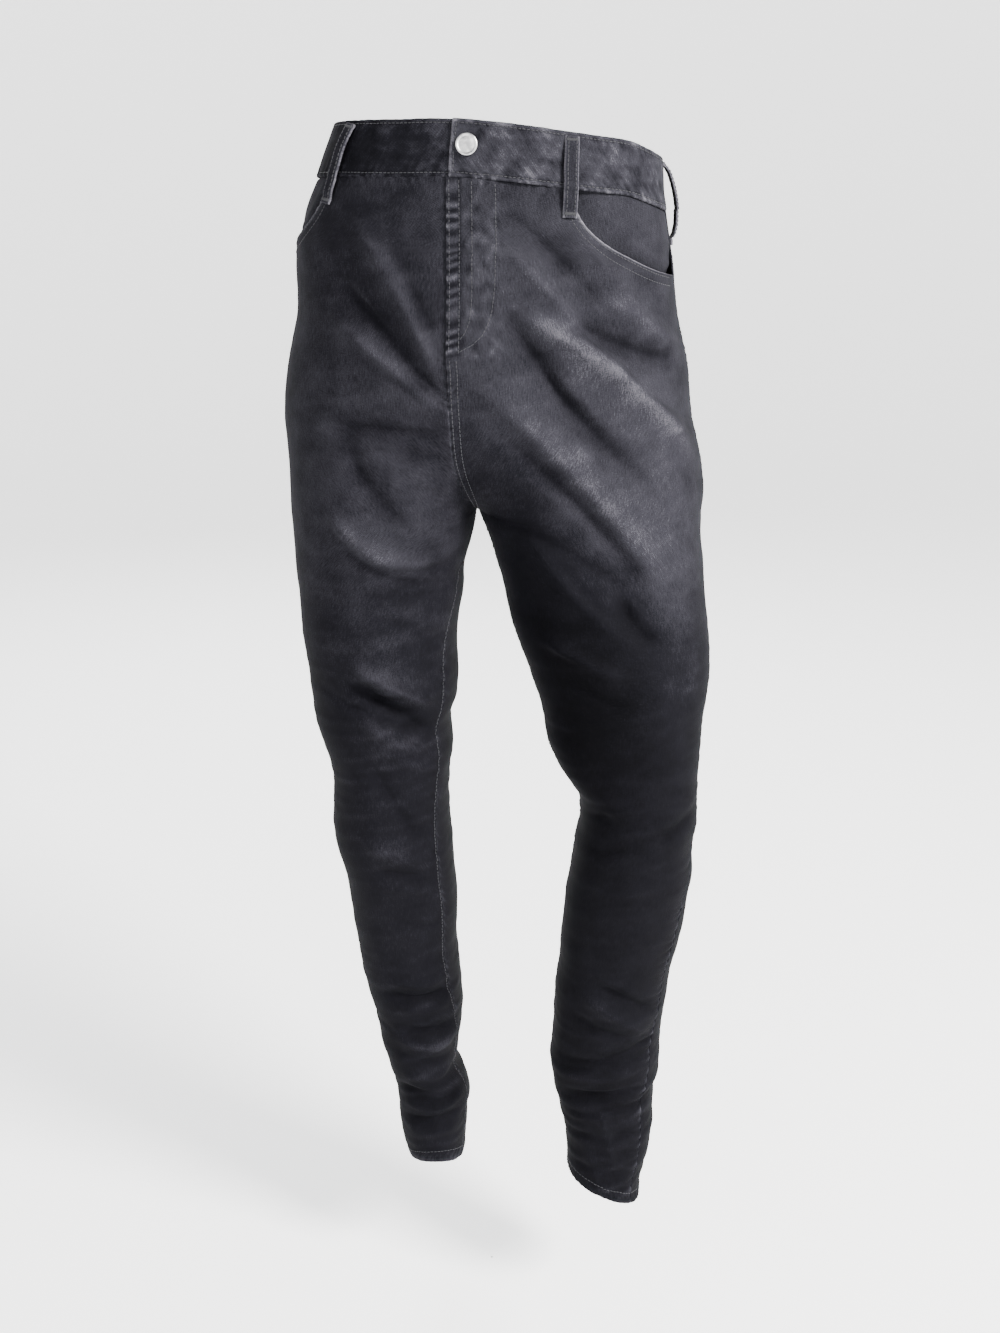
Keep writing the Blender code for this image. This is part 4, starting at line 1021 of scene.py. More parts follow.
def yoke(side):
    rows = np.linspace(BAND_SEAM, YOKE_SIDE, YOKE_ROWS)
    k = 1 + np.repeat(shares_across(BACK_COLUMNS)[None, :], len(rows), axis=0)
    points, out = skin_and_out(side, k, dropped(rows[:, None], k))
    points = trim(points, ["top", "bottom", "first"])
    away = lengths(points)
    relief = puckered("yoke foot", away["first"], away["bottom"])
    relief = relief + puckered("yoke waist", away["first"], away["top"])
    relief = relief + puckered("yoke rise", away["top"], away["last"])
    outer = points + out * relief[..., None]
    rubbed = np.exp(-np.minimum(away["bottom"], away["last"]) / (1.8 * MM))
    wear_and_painted_light = wash_and_painted_light(points, out, relief * RELIEF_WEAR_AND_SHADE) + 0.16 * rubbed
    return cut_piece("yoke_panel_" + side, outer, out, WALL, wear_and_painted_light, rows)


BACK = {side: back_panel(side) for side in ("right", "left")}
YOKE = {side: yoke(side) for side in ("right", "left")}
for side in ("right", "left"):
    for panel, node in ((BACK[side], "back_"), (YOKE[side], "yoke_")):
        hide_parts(node + side)
        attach(panel["piece"], "root")
        print(node + side, panel["points"].shape)

# %% [markdown]
# ## Pockets
# Behind the curved opening lies a hip piece of the same denim, tucked under the front. Each back pocket
# is a patch laid on the back leg, with a turned top edge and a point at the bottom.

# %% Hip pocket facings
FACING_WALL, FACING_DEPTH = 1.2 * MM, 2.6 * MM
FACING_TUCK, FACING_RISE = 1.5, 2.0 * MM
FACING_MARGIN_K, FACING_MARGIN_Z = 0.09, 13 * MM
FACING_TURN, FACING_ROWS, FACING_COLUMNS = 82, 60, 41
BAND_TUCK, BAND_TUCK_ROWS = 2.3 * MM, (8 * MM, 5 * MM, 2.5 * MM)


def facing(side):
    """Hip piece that lies behind the front and reaches up behind the waistband."""
    turns = np.radians(np.linspace(0, FACING_TURN, FACING_ROWS))
    start = 1 - (1 - pocket_start(side) + FACING_MARGIN_K) * opening_share(np.sin(turns))
    heights = BAND_SEAM - (POCKET_DEPTH + FACING_MARGIN_Z) * np.sin(turns)
    heights = np.concatenate([BAND_SEAM + np.array(BAND_TUCK_ROWS), heights])
    start = np.concatenate([np.full(len(BAND_TUCK_ROWS), start[0]), start])
    k = start[:, None] + (1 - start[:, None]) * np.linspace(0, 1, FACING_COLUMNS)[None, :]
    z = np.repeat(heights[:, None], FACING_COLUMNS, axis=1)
    points, out = skin_and_out(side, k, z)
    near = toward_edge(side, k, z)
    depth = FACING_DEPTH * (1 + FACING_TUCK * ramp(near, 0.5, 0.95))
    depth = depth - FACING_RISE * ramp(near, 0.45, 0.15)
    depth = np.maximum(depth, BAND_TUCK * ramp(z, BAND_SEAM - 2.5 * MM, BAND_SEAM - 0.5 * MM))
    outer = trim(points, ["top", "last"]) - out * depth[..., None]
    away = lengths(outer)
    relief = puckered("facing side", away["top"], away["last"])
    outer = outer + out * relief[..., None]
    wear_and_painted_light = wash_and_painted_light(points, out, relief) + 0.02
    return cut_piece("pocket_facing_denim_" + side, outer, out, FACING_WALL, wear_and_painted_light, heights)


FACING = {side: facing(side) for side in ("right", "left")}
for side, panel in FACING.items():
    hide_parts("pocket_facing_" + side)
    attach(panel["piece"], "root")
print("hip pocket facings made")

# %% Back pockets
POCKET_TOP, POCKET_LOW, POCKET_POINT = -116 * MM, -249.3 * MM, -267.6 * MM
POCKET_SPAN = (1.25, 1.8333)
PATCH_ROWS, PATCH_COLUMNS = 61, 49
POCKET_WALL = 1.4 * MM
POCKET_SEAT = SEAM_GAP * 1.5


def back_pocket(side):
    """Patch on the back leg: its points are the leg's own, moved out."""
    even = np.linspace(0, 1, PATCH_COLUMNS)
    spread = np.abs(2 * even - 1)
    bottom = POCKET_LOW + (POCKET_POINT - POCKET_LOW) * (0.15 + 0.75 * (1 - spread))
    heights = POCKET_TOP + (bottom[None, :] - POCKET_TOP) * np.linspace(0, 1, PATCH_ROWS)[:, None]
    across = POCKET_SPAN[0] + (POCKET_SPAN[1] - POCKET_SPAN[0]) * even
    k = np.repeat(across[None, :], PATCH_ROWS, axis=0)
    points, out = skin_and_out(side, k, dropped(heights, k))
    away = lengths(points)
    edge = np.minimum(np.minimum(away["first"], away["last"]), away["bottom"])
    along = np.where(away["bottom"] < np.minimum(away["first"], away["last"]), away["first"], away["top"])
    relief = puckered("patch edge", along, edge)
    relief = relief + 0.35 * MM * ramp(away["top"], 17 * MM, 15 * MM) - 0.5 * MM * ramp(edge, 3 * MM, 0)
    outer = points + out * (POCKET_SEAT + POCKET_WALL + relief)[..., None]
    wear_and_painted_light = wash_and_painted_light(points, out, relief) + 0.22 * np.exp(-np.minimum(edge, away["top"]) / (1.6 * MM))
    return cut_piece("back_pocket_patch_" + side, outer, out, POCKET_WALL + relief * 0.5, wear_and_painted_light, heights[:, 0])


POCKET = {side: back_pocket(side) for side in ("right", "left")}
for side, panel in POCKET.items():
    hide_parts("back_pocket_" + side)
    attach(panel["piece"], "root")
print("back pockets made")

# %% [markdown]
# ## Waistband
# The band is a strip folded over and sewn along both long edges. It goes once round the waist and its
# left end laps over the right one. A spiral grid makes it one piece, as the maker's strip is.

# %% Waistband
BAND_WALL = 2.6 * MM
BAND_LIFT, BAND_LAP_LIFT = 0.9 * MM, 3.0 * MM
UNDER_END = math.radians(7)
OVER_END_TOP, OVER_END_SEAM = math.radians(-14.9), math.radians(-12.9)
LAP_FROM, LAP_FULL = math.radians(26), math.radians(10)
BAND_COLUMNS, BAND_ROWS = 560, 34
BAND_STITCH = 2.6 * MM


def band_points(angle, z):
    """Points and outward directions of the waist section at angles."""
    def at(turn, height):
        x, y = ring(*hips(height), turn)
        lift = WAIST_SADDLE * np.cos(turn) ** 2 + smooth(WAIST_LIFT, 1, x)
        return np.stack([x, y, height + waist_roll(height) * x + lift], axis=-1)
    points = at(angle, z)
    around = at(angle + 1e-4, z) - at(angle - 1e-4, z)
    upward = at(angle, z + 1e-5) - at(angle, z - 1e-5)
    out = np.cross(around, upward)
    return points, out / np.linalg.norm(out, axis=-1, keepdims=True)


def band_lift(angle):
    """Height of the band over the skin; its last stretch lies over its first."""
    return BAND_LIFT + BAND_LAP_LIFT * ramp(angle + 2 * math.pi, LAP_FROM, LAP_FULL)


def waistband():
    even = np.linspace(0, 1, BAND_ROWS)
    heights = BAND_TOP + (BAND_SEAM - BAND_TOP) * (0.5 * even + 0.25 * (1 - np.cos(math.pi * even)))
    over_end = np.interp(-heights, [-BAND_TOP, -BAND_SEAM], [OVER_END_TOP, OVER_END_SEAM]) - 2 * math.pi
    angle = np.linspace(np.full(BAND_ROWS, UNDER_END), over_end, BAND_COLUMNS, axis=1)
    z = np.repeat(heights[:, None], BAND_COLUMNS, axis=1)
    points, out = band_points(angle, z)
    points = trim(points, ["bottom"])
    away = lengths(points)
    edge = np.minimum(away["top"], away["bottom"])
    relief = puckered("band seam", away["first"], away["bottom"])
    relief = relief + puckered("band top", away["first"] + 3 * MM, away["top"], -0.4)
    relief = relief + 0.22 * MM * ripples(points[..., [2, 1, 0]], 9, 20 * MM, level=0.9)
    relief = relief + groove(edge, BAND_STITCH, 0.40 * MM, 0.9 * MM) - 0.5 * MM * ramp(edge, 1.6 * MM, 0)
    outer = points + out * (band_lift(angle) + relief)[..., None]
    x = points[..., 0]
    rubbed = np.exp(-edge / (1.6 * MM)) + 1.3 * np.exp(-away["last"] / (2.4 * MM))
    patches = 0.035 * ripples(points[..., [2, 1, 0]], 12, 26 * MM, level=1.2)
    patches = patches + 0.045 * ripples(points, 14, 9 * MM, level=1.5)
    # The whole band a little paler, with painted shade on the wearer's right half of its front.
    paler_and_painted_shade = 0.05 - 0.16 * ramp(x, -0.03, -0.05) * ramp(points[..., 1], 0.02, -0.02)
    wear_and_painted_light = wash_and_painted_light(points, out, relief * 1.4) + 0.20 * rubbed + patches + paler_and_painted_shade
    return cut_piece("waistband_cloth", outer, out, BAND_WALL + relief * 0.5, wear_and_painted_light, heights)


BAND = waistband()
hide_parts("waistband")
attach(BAND["piece"], "root")
print("waistband", BAND["points"].shape)

# %% [markdown]
# ## Belt loops
# Each loop is a narrow strip folded in three, with a row of stitches near each edge and a bar of close
# stitches at both ends. The one at the wearer's left side stands off, as though a belt had stretched it.

# %% Belt loops
LOOP_WALL, LOOP_WIDTH = 1.6 * MM, 10.5 * MM
LOOP_SEAT, LOOP_SEAT_BELOW, LOOP_INSET = 0.39 * MM, 0.25 * MM, 3 * MM
LOOP_ARCH = 0.5
LOOP_ROWS, LOOP_COLUMNS = 64, 18
# angle from the front (degrees), stand-off and length below the waistband seam (mm)
LOOPS = {
    "front_right": (-56, 3.0, 20), "front_left": (24.3, 3.0, 22), "side_right": (-128, 3.0, 20),
    "side_left": (93, 8.5, 28), "back": (167, 3.0, 20),
}


def belt_loop(name, degrees, bulge, drop):
    """Strip that is seated on the band above, on the leg below, and arches out between."""
    steps = np.linspace(0, 1, LOOP_ROWS)
    top, bottom = BAND_TOP - LOOP_INSET, BAND_SEAM - drop * MM
    z = top + (bottom - top) * steps
    points, out = band_points(np.full(LOOP_ROWS, math.radians(degrees)), z)
    up = 1 - steps
    on_band = ramp(z, BAND_SEAM - 2.5 * MM, BAND_SEAM - 1.0 * MM)
    seated = LOOP_SEAT_BELOW + (BAND_LIFT - LOOP_SEAT_BELOW) * on_band
    arch = np.sin(math.pi * np.clip((up - 0.08) / 0.88, 0, 1)) ** LOOP_ARCH
    lift = LOOP_SEAT + seated + bulge * MM * arch
    across = np.cross(points[0] - points[-1], out)
    across = across / np.linalg.norm(across, axis=-1, keepdims=True) * LOOP_WIDTH / 2
    level = np.repeat(out[LOOP_ROWS // 2][None, None, :], LOOP_ROWS, axis=0)
    path = points + out * lift[:, None]
    side_step = np.linspace(-1, 1, LOOP_COLUMNS)[None, :, None]
    rounded = -0.7 * MM * np.abs(side_step) ** 6 + 0.25 * MM * (1 - side_step ** 2)
    outer = path[:, None, :] + across[:, None, :] * side_step + level * (LOOP_WALL + rounded)
    away = lengths(outer)
    edge = np.minimum(away["first"], away["last"])
    outer = outer + level * puckered("loop edge", away["top"], edge)[..., None]
    end = np.minimum(away["top"], away["bottom"])
    wear_and_painted_light = 0.36 + 0.30 * np.exp(-edge / (1.0 * MM)) + 0.15 * np.exp(-end / (2 * MM))
    return cut_piece("loop_" + name, outer, np.repeat(level, LOOP_COLUMNS, axis=1), LOOP_WALL, wear_and_painted_light, z)


LOOP = {name: belt_loop(name, *sizes) for name, sizes in LOOPS.items()}
for name, panel in LOOP.items():
    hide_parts("belt_loop_" + name)
    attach(panel["piece"], "root")
print("belt loops:", len(LOOP))

# %% [markdown]
# ## Sewing thread
# Each stitch is a short bead of thread that dips into the cloth at both ends. One small bead is laid
# again and again along a line on a panel, so the seams stay real geometry.

# %% Stitch helpers
STITCH_PITCH, STITCH_LENGTH, STITCH_THICKNESS = 3.3 * MM, 2.7 * MM, 0.62 * MM
BAR_PITCH, BAR_LENGTH, BAR_THICKNESS = 0.62 * MM, 2.6 * MM, 0.60 * MM
THREAD_REST = 0.1 * MM
# place along the stitch, thickness, height (shares of half its length and half its thickness)
BEAD_STATIONS = (
    (-1.0, 0.35, -0.55), (-0.6, 0.95, 0.0), (0.0, 1.0, 0.12), (0.6, 0.95, 0.0), (1.0, 0.35, -0.55),
)
BEAD_SIDES = 6


def bead(length, thickness):
    """Points of one stitch: rings along it, thin and low at both ends; and its faces."""
    turns = np.arange(BEAD_SIDES) * 2 * math.pi / BEAD_SIDES
    radius = thickness / 2
    points = [(along * length / 2, math.cos(turn) * radius * size,
               math.sin(turn) * radius * size + low * radius)
              for along, size, low in BEAD_STATIONS for turn in turns]
    faces = []
    for station in range(len(BEAD_STATIONS) - 1):
        for corner in range(BEAD_SIDES):
            following = (corner + 1) % BEAD_SIDES
            first, second = station * BEAD_SIDES, (station + 1) * BEAD_SIDES
            faces.append((first + corner, second + corner, second + following, first + following))
    last_ring = (len(BEAD_STATIONS) - 1) * BEAD_SIDES
    caps = [tuple(range(BEAD_SIDES)), tuple(range(last_ring + BEAD_SIDES - 1, last_ring - 1, -1))]
    return np.array(points), faces + caps


def on_path(places, run, values):
    """Points or directions of a path at distances along it."""
    return np.stack([np.interp(places, run, values[:, axis]) for axis in range(3)], axis=-1)


def beads_on(paths, pitch, length, thickness, turned=False):
    """Vertices and faces of the stitches along paths of points and outward directions."""
    shape, faces = bead(length, thickness)
    vertices, polygons = [], []
    for points, out in paths:
        steps = np.linalg.norm(np.diff(points, axis=0), axis=-1)
        run = np.concatenate([[0], np.cumsum(steps)])
        places = np.arange(pitch / 2, run[-1] - pitch / 2, pitch)
        centre = on_path(places, run, points)
        ahead = on_path(places + pitch / 4, run, points)
        normal = on_path(places, run, out)
        normal /= np.linalg.norm(normal, axis=-1, keepdims=True)
        along = ahead - centre
        along -= normal * np.sum(along * normal, axis=-1, keepdims=True)
        along /= np.maximum(np.linalg.norm(along, axis=-1, keepdims=True), 1e-12)
        across = np.cross(normal, along)
        if turned:
            along, across = across, -along
        laid = (centre[:, None] + along[:, None] * shape[None, :, :1]
                + across[:, None] * shape[None, :, 1:2]
                + normal[:, None] * (shape[None, :, 2:3] + THREAD_REST))
        for stitch in laid:
            base = len(vertices)
            vertices.extend(stitch.tolist())
            polygons.extend(tuple(base + corner for corner in face) for face in faces)
    return vertices, polygons


def sew(name, paths, bars=()):
    """One object with all the stitches of a panel; bars are rows of close stitches laid across."""
    vertices, polygons = beads_on(paths, STITCH_PITCH, STITCH_LENGTH, STITCH_THICKNESS)
    more, faces = beads_on(bars, BAR_PITCH, BAR_LENGTH, BAR_THICKNESS, turned=True)
    polygons += [tuple(corner + len(vertices) for corner in face) for face in faces]
    piece = mesh_object(name, vertices + more, polygons, THREAD)
    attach(piece, "root")
    return piece


print("one stitch has", len(bead(STITCH_LENGTH, STITCH_THICKNESS)[0]), "points")

# %% Lines on a panel
def sample(grid, row, column):
    """Value of a grid of points at fractional rows and columns."""
    r = np.clip(np.floor(row).astype(int), 0, grid.shape[0] - 2)
    c = np.clip(np.floor(column).astype(int), 0, grid.shape[1] - 2)
    down, over = (row - r)[:, None], (column - c)[:, None]
    upper = grid[r, c] * (1 - over) + grid[r, c + 1] * over
    lower = grid[r + 1, c] * (1 - over) + grid[r + 1, c + 1] * over
    return upper * (1 - down) + lower * down


def line_at(panel, row, column):
    return sample(panel["points"], row, column), sample(panel["out"], row, column)


def beside(panel, edge, distance, top, bottom, count=240):
    """Line at a distance, or at one distance per step, from the first or last edge of a panel."""
    heights = np.linspace(top, bottom, count)
    distances = np.broadcast_to(distance, (count,))
    rows = np.interp(-heights, -np.asarray(panel["rows"]), np.arange(len(panel["rows"])))
    across, _ = grain(panel["points"])
    last = across.shape[1] - 1
    columns = np.empty(count)
    for step, (row, reached) in enumerate(zip(rows, distances)):
        line = across[min(int(row), len(across) - 1)]
        from_edge = line - line[0] if edge == "first" else line[-1] - line[::-1]
        column = np.interp(reached, from_edge, np.arange(last + 1))
        columns[step] = column if edge == "first" else last - column
    return line_at(panel, rows, columns)


def along_end(panel, edge, distance, start=0.0, stop=1.0):
    """Line at a distance from the top or bottom edge, between two shares of the columns."""
    down = lengths(panel["points"])[edge]
    last_row, last_column = down.shape[0] - 1, down.shape[1] - 1
    columns = np.linspace(start * last_column, stop * last_column, 2 * last_column)
    rows = np.empty(len(columns))
    for step, column in enumerate(columns):
        line = down[:, int(column)]
        if edge == "top":
            rows[step] = np.interp(distance, line, np.arange(last_row + 1))
        else:
            rows[step] = last_row - np.interp(distance, line[::-1], np.arange(last_row + 1))
    return line_at(panel, rows, columns)


def through(panel, table):
    """Smooth line on a panel through rows of distance from the first edge and height (mm)."""
    steps = np.linspace(0, len(table) - 1, 160)
    places = np.arange(len(table))
    distance = np.interp(steps, places, [row[0] for row in table]) * MM
    height = np.interp(steps, places, [row[1] for row in table]) * MM
    soften = np.hanning(15) / np.hanning(15).sum()
    distance[7:-7] = np.convolve(distance, soften, "valid")
    height[7:-7] = np.convolve(height, soften, "valid")
    rows = np.interp(-height, -np.asarray(panel["rows"]), np.arange(len(panel["rows"])))
    across, _ = grain(panel["points"])
    columns = [np.interp(reached, across[int(row)] - across[int(row), 0], np.arange(across.shape[1]))
               for row, reached in zip(rows, distance)]
    return line_at(panel, rows, np.array(columns))


def pocket_curve(side, margin):
    """Line that follows the pocket opening on a front, a margin away from it."""
    panel = FRONT[side]
    turns = np.linspace(math.radians(3), math.radians(86), 90)
    across, _ = grain(panel["points"])
    share = margin / (across[0, -1] - across[0, 0]) * pocket_start(side)
    k = 1 - (1 - pocket_start(side) + share) * opening_share(np.sin(turns))
    heights = BAND_SEAM - (POCKET_DEPTH + margin) * np.sin(turns)
    even = np.linspace(0, 1, FRONT_COLUMNS + 1)
    rows = np.interp(-heights, -panel["rows"], np.arange(len(panel["rows"])))
    columns = np.interp(k / pocket_edge(side, heights), shares_across(FRONT_COLUMNS), even * FRONT_COLUMNS)
    return line_at(panel, rows, columns)


print("line helpers ready")

# %% Stitch lines of the fronts
# distance from the lapped edge, height (mm)
FLY_OUTER = (
    (37, -34), (37, -70), (36.5, -100), (34, -120), (28, -134), (20, -142), (13, -146), (8, -149),
)
FLY_INNER = ((19, -34), (19, -80), (19, -110), (17.5, -125), (14, -134), (10, -139))
FLY_EDGE_ROWS, OPENING_ROWS, RISE_ROWS = (9.4 * MM, 1.8 * MM), (2.2 * MM, 8.4 * MM), (2.2 * MM, 7.5 * MM)
INSEAM_STITCH, SIDE_STITCH = 2.4 * MM, 2.2 * MM
SIDE_STITCH_END = -172 * MM


def front_lines(side):
    panel = FRONT[side]
    lines = [beside(panel, "first", INSEAM_STITCH, CROTCH - 4 * MM, HEM[side] + HEM_DEPTH, 900)]
    lines += [pocket_curve(side, margin) for margin in OPENING_ROWS]
    lines.append(along_end(panel, "bottom", HEM_STITCH))
    lines.append(beside(panel, "last", SIDE_STITCH, BAND_SEAM - POCKET_DEPTH - 2 * MM, SIDE_STITCH_END))
    if side == "left":
        lines += [beside(panel, "first", distance, BAND_SEAM - 2 * MM, FLY_LAP_END)
                  for distance in FLY_EDGE_ROWS]
        lines += [through(panel, FLY_OUTER), through(panel, FLY_INNER)]
        start, stop = FLY_LAP_END - 4 * MM, CROTCH + 4 * MM
        lines += [beside(panel, "first", distance, start, stop) for distance in RISE_ROWS]
    return lines


for side in ("right", "left"):
    sewn = sew("stitches_front_" + side, front_lines(side))
    FRONT[side]["sewing"] = [sewn]
    print("stitches on the front", side, len(sewn.data.vertices) // (len(BEAD_STATIONS) * BEAD_SIDES))

# %% Stitch lines of the back, the band and the loops
PATCH_SIDE_ROWS, PATCH_TOP_ROWS = (2.0 * MM, 7.0 * MM), (2.0 * MM, 14 * MM)
PATCH_STEPS, PATCH_LEVEL_ROW = 160, 10
YOKE_STITCH_ROWS = (2.2 * MM, 8.0 * MM)
LOOP_STITCH, LOOP_BAR = 2.3 * MM, 2.6 * MM


def back_lines(side):
    panel = BACK[side]
    lines = [along_end(panel, "bottom", HEM_STITCH)]
    if side == "left":
        start, stop = YOKE_SIDE - 2 * MM, CROTCH + 6 * MM
        lines += [beside(panel, "last", distance, start, stop) for distance in RISE_ROWS]
    return lines


def patch_lines(panel):
    """Two rows round a back pocket and two across its turned top."""
    lines = []
    away = lengths(panel["points"])
    last_row, last_column = PATCH_ROWS - 1, PATCH_COLUMNS - 1
    for margin in PATCH_SIDE_ROWS:
        first = np.interp(margin, away["first"][PATCH_LEVEL_ROW], np.arange(PATCH_COLUMNS))
        low = np.interp(margin, away["bottom"][::-1, PATCH_COLUMNS // 2], np.arange(PATCH_ROWS))
        rows = np.linspace(0, last_row - low, PATCH_STEPS)
        for column in (first, last_column - first):
            lines.append(line_at(panel, rows, np.full(PATCH_STEPS, column)))
        columns = np.linspace(first, last_column - first, PATCH_STEPS)
        lines.append(line_at(panel, np.full(PATCH_STEPS, rows[-1]), columns))
    lines += [along_end(panel, "top", distance) for distance in PATCH_TOP_ROWS]
    return lines


def loop_lines(panel):
    """Two rows down a belt loop and a bar of close stitches at each end."""
    top, bottom = panel["rows"][0], panel["rows"][-1]
    lines = [beside(panel, edge, LOOP_STITCH, top, bottom, 80) for edge in ("first", "last")]
    bars = [along_end(panel, edge, LOOP_BAR, 0.06, 0.94) for edge in ("top", "bottom")]
    return lines, bars


for side in ("right", "left"):
    BACK[side]["sewing"] = [sew("stitches_back_" + side, back_lines(side))]
    lines = [along_end(YOKE[side], "bottom", distance) for distance in YOKE_STITCH_ROWS]
    if side == "left":
        start = BAND_SEAM - 1 * MM
        lines += [beside(YOKE[side], "last", distance, start, YOKE_SIDE) for distance in RISE_ROWS]
    YOKE[side]["sewing"] = [sew("stitches_yoke_" + side, lines)]
    POCKET[side]["sewing"] = [sew("stitches_back_pocket_" + side, patch_lines(POCKET[side]))]
    FACING[side]["sewing"] = []

BAND["sewing"] = [sew("stitches_waistband", [
    along_end(BAND, "top", BAND_STITCH), along_end(BAND, "bottom", BAND_STITCH),
    beside(BAND, "last", BAND_STITCH, BAND_TOP - BAND_STITCH, BAND_SEAM + BAND_STITCH, 60),
])]
for name, panel in LOOP.items():
    lines, bars = loop_lines(panel)
    panel["sewing"] = [sew("stitches_loop_" + name, lines, bars)]
print("back, band and loops sewn")

# %% [markdown]
# ## The button
# The shank button is a metal shell pressed from sheet: a rolled rim, a shallow ring inside it and a
# slightly domed middle, left plain. A profile turned about the button's axis gives all of it.

# %% Button
BUTTON_ANGLE, BUTTON_HEIGHT = math.radians(-9.0), -9.0 * MM
BUTTON_STEPS = 72
# radius, height (mm) from the cloth outwards
BUTTON_PROFILE = (
    (0.0, 0.0), (3.3, 0.0), (3.4, 0.2), (3.4, 1.2), (7.2, 1.35), (7.8, 1.5), (8.1, 1.85), (8.2, 2.3),
    (8.05, 2.75), (7.7, 3.05), (7.3, 3.15), (6.8, 3.05), (6.4, 2.85), (6.1, 2.7), (5.8, 2.68), (5.3, 2.8),
    (4.4, 2.98), (3.1, 3.12), (1.6, 3.2), (0.0, 3.22),
)


def button():
    """The profile turned about the button's axis, seated on the lapped end of the band."""
    points, out = band_points(np.array([BUTTON_ANGLE]), np.array([BUTTON_HEIGHT]))
    axis = out[0]
    level = np.cross([0, 0, 1], axis)
    level /= np.linalg.norm(level)
    upright = np.cross(axis, level)
    seat = points[0] + axis * (BAND_LIFT + BAND_LAP_LIFT + SEAM_GAP)
    vertices, faces = [seat + axis * BUTTON_PROFILE[0][1] * MM], []
    for radius, height in BUTTON_PROFILE[1:-1]:
        for step in range(BUTTON_STEPS):
            turn = 2 * math.pi * step / BUTTON_STEPS
            spoke = level * math.cos(turn) + upright * math.sin(turn)
            vertices.append(seat + (spoke * radius + axis * height) * MM)
    vertices.append(seat + axis * BUTTON_PROFILE[-1][1] * MM)
    rings = len(BUTTON_PROFILE) - 2
    for step in range(BUTTON_STEPS):
        following = (step + 1) % BUTTON_STEPS
        faces.append((0, 1 + following, 1 + step))
        for turn in range(rings - 1):
            low, high = 1 + turn * BUTTON_STEPS, 1 + (turn + 1) * BUTTON_STEPS
            faces.append((low + step, low + following, high + following, high + step))
        top = 1 + (rings - 1) * BUTTON_STEPS
        faces.append((top + step, top + following, len(vertices) - 1))
    return mesh_object("button_shell", [tuple(point) for point in vertices], faces, BUTTON_METAL)


BUTTON = button()
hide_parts("button")
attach(BUTTON, "root")
print("button with", len(BUTTON.data.polygons), "polygons")

# %% [markdown]
# ## The cut of each piece
# For each piece the width, length and area of what shows are measured and printed: the flat size that a maker
# would cut.


def measured(panel):
    """Widest width, longest length (m) and area (square metres) of a panel's outer face."""
    grid = panel["points"]
    across, down = grain(grid)
    width = (across[:, -1] - across[:, 0]).max()
    length = (-down[-1]).max()
    first, second = grid[1:, 1:] - grid[:-1, :-1], grid[1:, :-1] - grid[:-1, 1:]
    area = np.linalg.norm(np.cross(first, second), axis=-1).sum() / 2
    width, length = round(float(width), 3), round(float(length), 3)
    return width, length, min(round(float(area), 4), width * length)


SHEETS = {"front": FRONT, "back": BACK, "yoke": YOKE, "facing": FACING, "pocket": POCKET,
          "band": {"": BAND}, "loop": LOOP}
for group, panels in SHEETS.items():
    for name, panel in panels.items():
        width, length, area = measured(panel)
        print(group, name, width, length, area)

# %% [markdown]
# ## Floor, light and camera
# A photographer hangs white paper that runs from the wall onto the floor in one bend, so no edge shows.
# Here it is a round bowl: a flat floor whose rim bends up all the way round, so it works from all sides.
# It glows a little. One soft lamp high on the viewer's right rakes across the folds.

# %% Stage
FLOOR_HEIGHT = -1.03
BOWL_RADIUS = 6.0
BOWL_BEND = 3.0
BOWL_WALL = 4.0
BOWL_SIDES = 96
PAPER_GLOW = 1.0


def bowl_profile():
    """Radius and height of the paper from the middle outwards."""
    turns = np.linspace(0, math.pi / 2, 16)
    bend = [(BOWL_RADIUS + BOWL_BEND * math.sin(t), BOWL_BEND * (1 - math.cos(t))) for t in turns]
    return [(0.001, 0.0), (2.0, 0.0), *bend, (BOWL_RADIUS + BOWL_BEND, BOWL_BEND + BOWL_WALL)]


def paper():
    material, _, shader = new_material("pale_paper")
    shader.inputs["Base Color"].default_value = (0.86, 0.86, 0.86, 1.0)
    shader.inputs["Roughness"].default_value = 0.95
    shader.inputs["Specular IOR Level"].default_value = 0.1
    shader.inputs["Emission Color"].default_value = (1.0, 1.0, 1.0, 1.0)
    shader.inputs["Emission Strength"].default_value = PAPER_GLOW
    return material


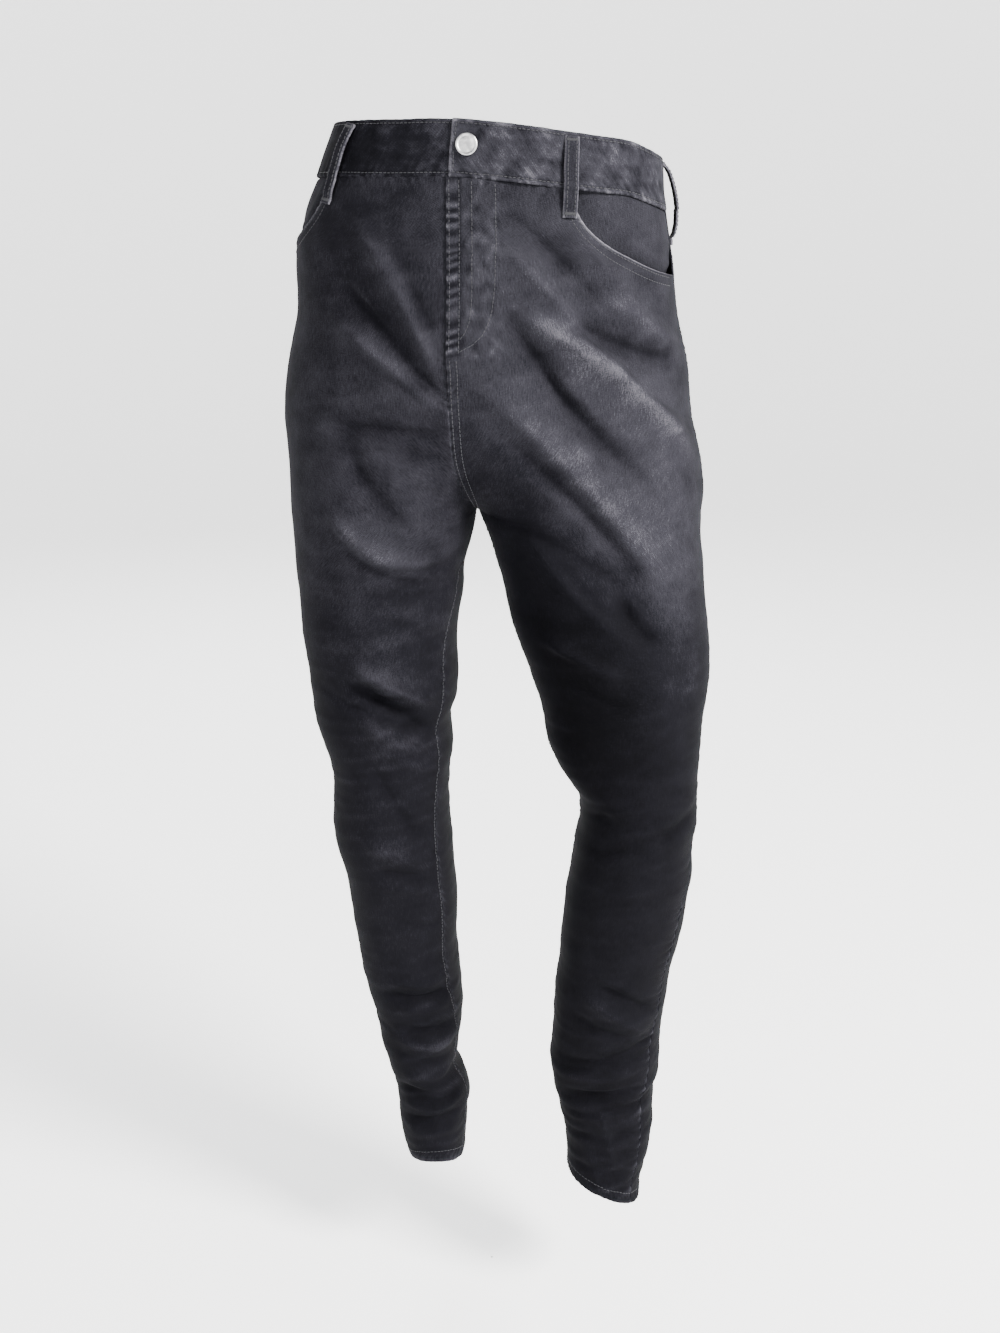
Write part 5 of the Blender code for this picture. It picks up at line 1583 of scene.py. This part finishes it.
def bowl():
    """Floor and wall of paper in one round surface."""
    profile = bowl_profile()
    around = np.linspace(0, 2 * math.pi, BOWL_SIDES, endpoint=False)
    points = [(r * math.cos(a), r * math.sin(a), h) for r, h in profile for a in around]
    faces = []
    for row in range(len(profile) - 1):
        for side in range(BOWL_SIDES):
            after = (side + 1) % BOWL_SIDES
            low, high = row * BOWL_SIDES, (row + 1) * BOWL_SIDES
            faces.append((low + side, high + side, high + after, low + after))
    return mesh_object("paper_floor", points, faces, paper())


floor = bowl()
floor.location = (0, 0, FLOOR_HEIGHT)

world = bpy.data.worlds.new("pale_room")
world.use_nodes = True
world.node_tree.nodes["Background"].inputs["Color"].default_value = (0.90, 0.91, 0.93, 1.0)
world.node_tree.nodes["Background"].inputs["Strength"].default_value = 0.5
bpy.context.scene.world = world


def lamp(name, place, target, size, power, colour):
    """Square soft lamp at a place, turned towards its target."""
    light = bpy.data.lights.new(name, "AREA")
    light.size = size
    light.energy = power
    light.color = colour
    lamp_object = bpy.data.objects.new(name, light)
    lamp_object.location = place
    x, y, z = np.array(target, dtype=float) - np.array(place, dtype=float)
    yaw = math.atan2(y, x) - math.pi / 2
    lean = math.atan2(z, math.hypot(x, y)) + math.pi / 2
    lamp_object.rotation_euler = (lean, 0.0, yaw)
    bpy.context.scene.collection.objects.link(lamp_object)


lamp("key", (1.9, -1.5, 1.3), (0.0, 0.0, -0.25), 0.8, 380, (1.0, 0.98, 0.96))
lamp("back", (-0.5, 2.4, 1.2), (0.0, 0.0, -0.3), 1.4, 90, (0.97, 0.98, 1.0))
lamp("fill", (-1.8, -1.6, 0.8), (0.0, 0.0, -0.4), 1.6, 8, (0.94, 0.97, 1.0))

CAMERA_PLACE, CAMERA_TILT = (0.008, -1.30, -0.05), 16.1
LENS, SENSOR = 41.73, 36
camera_data = bpy.data.cameras.new("photo_view")
camera_data.lens = LENS
camera_data.sensor_width = SENSOR
camera = bpy.data.objects.new("photo_view", camera_data)
camera.location = CAMERA_PLACE
camera.rotation_euler = (math.radians(90 - CAMERA_TILT), 0.0, 0.0)
bpy.context.scene.collection.objects.link(camera)
bpy.context.scene.camera = camera
print("stage, lamps and camera set")
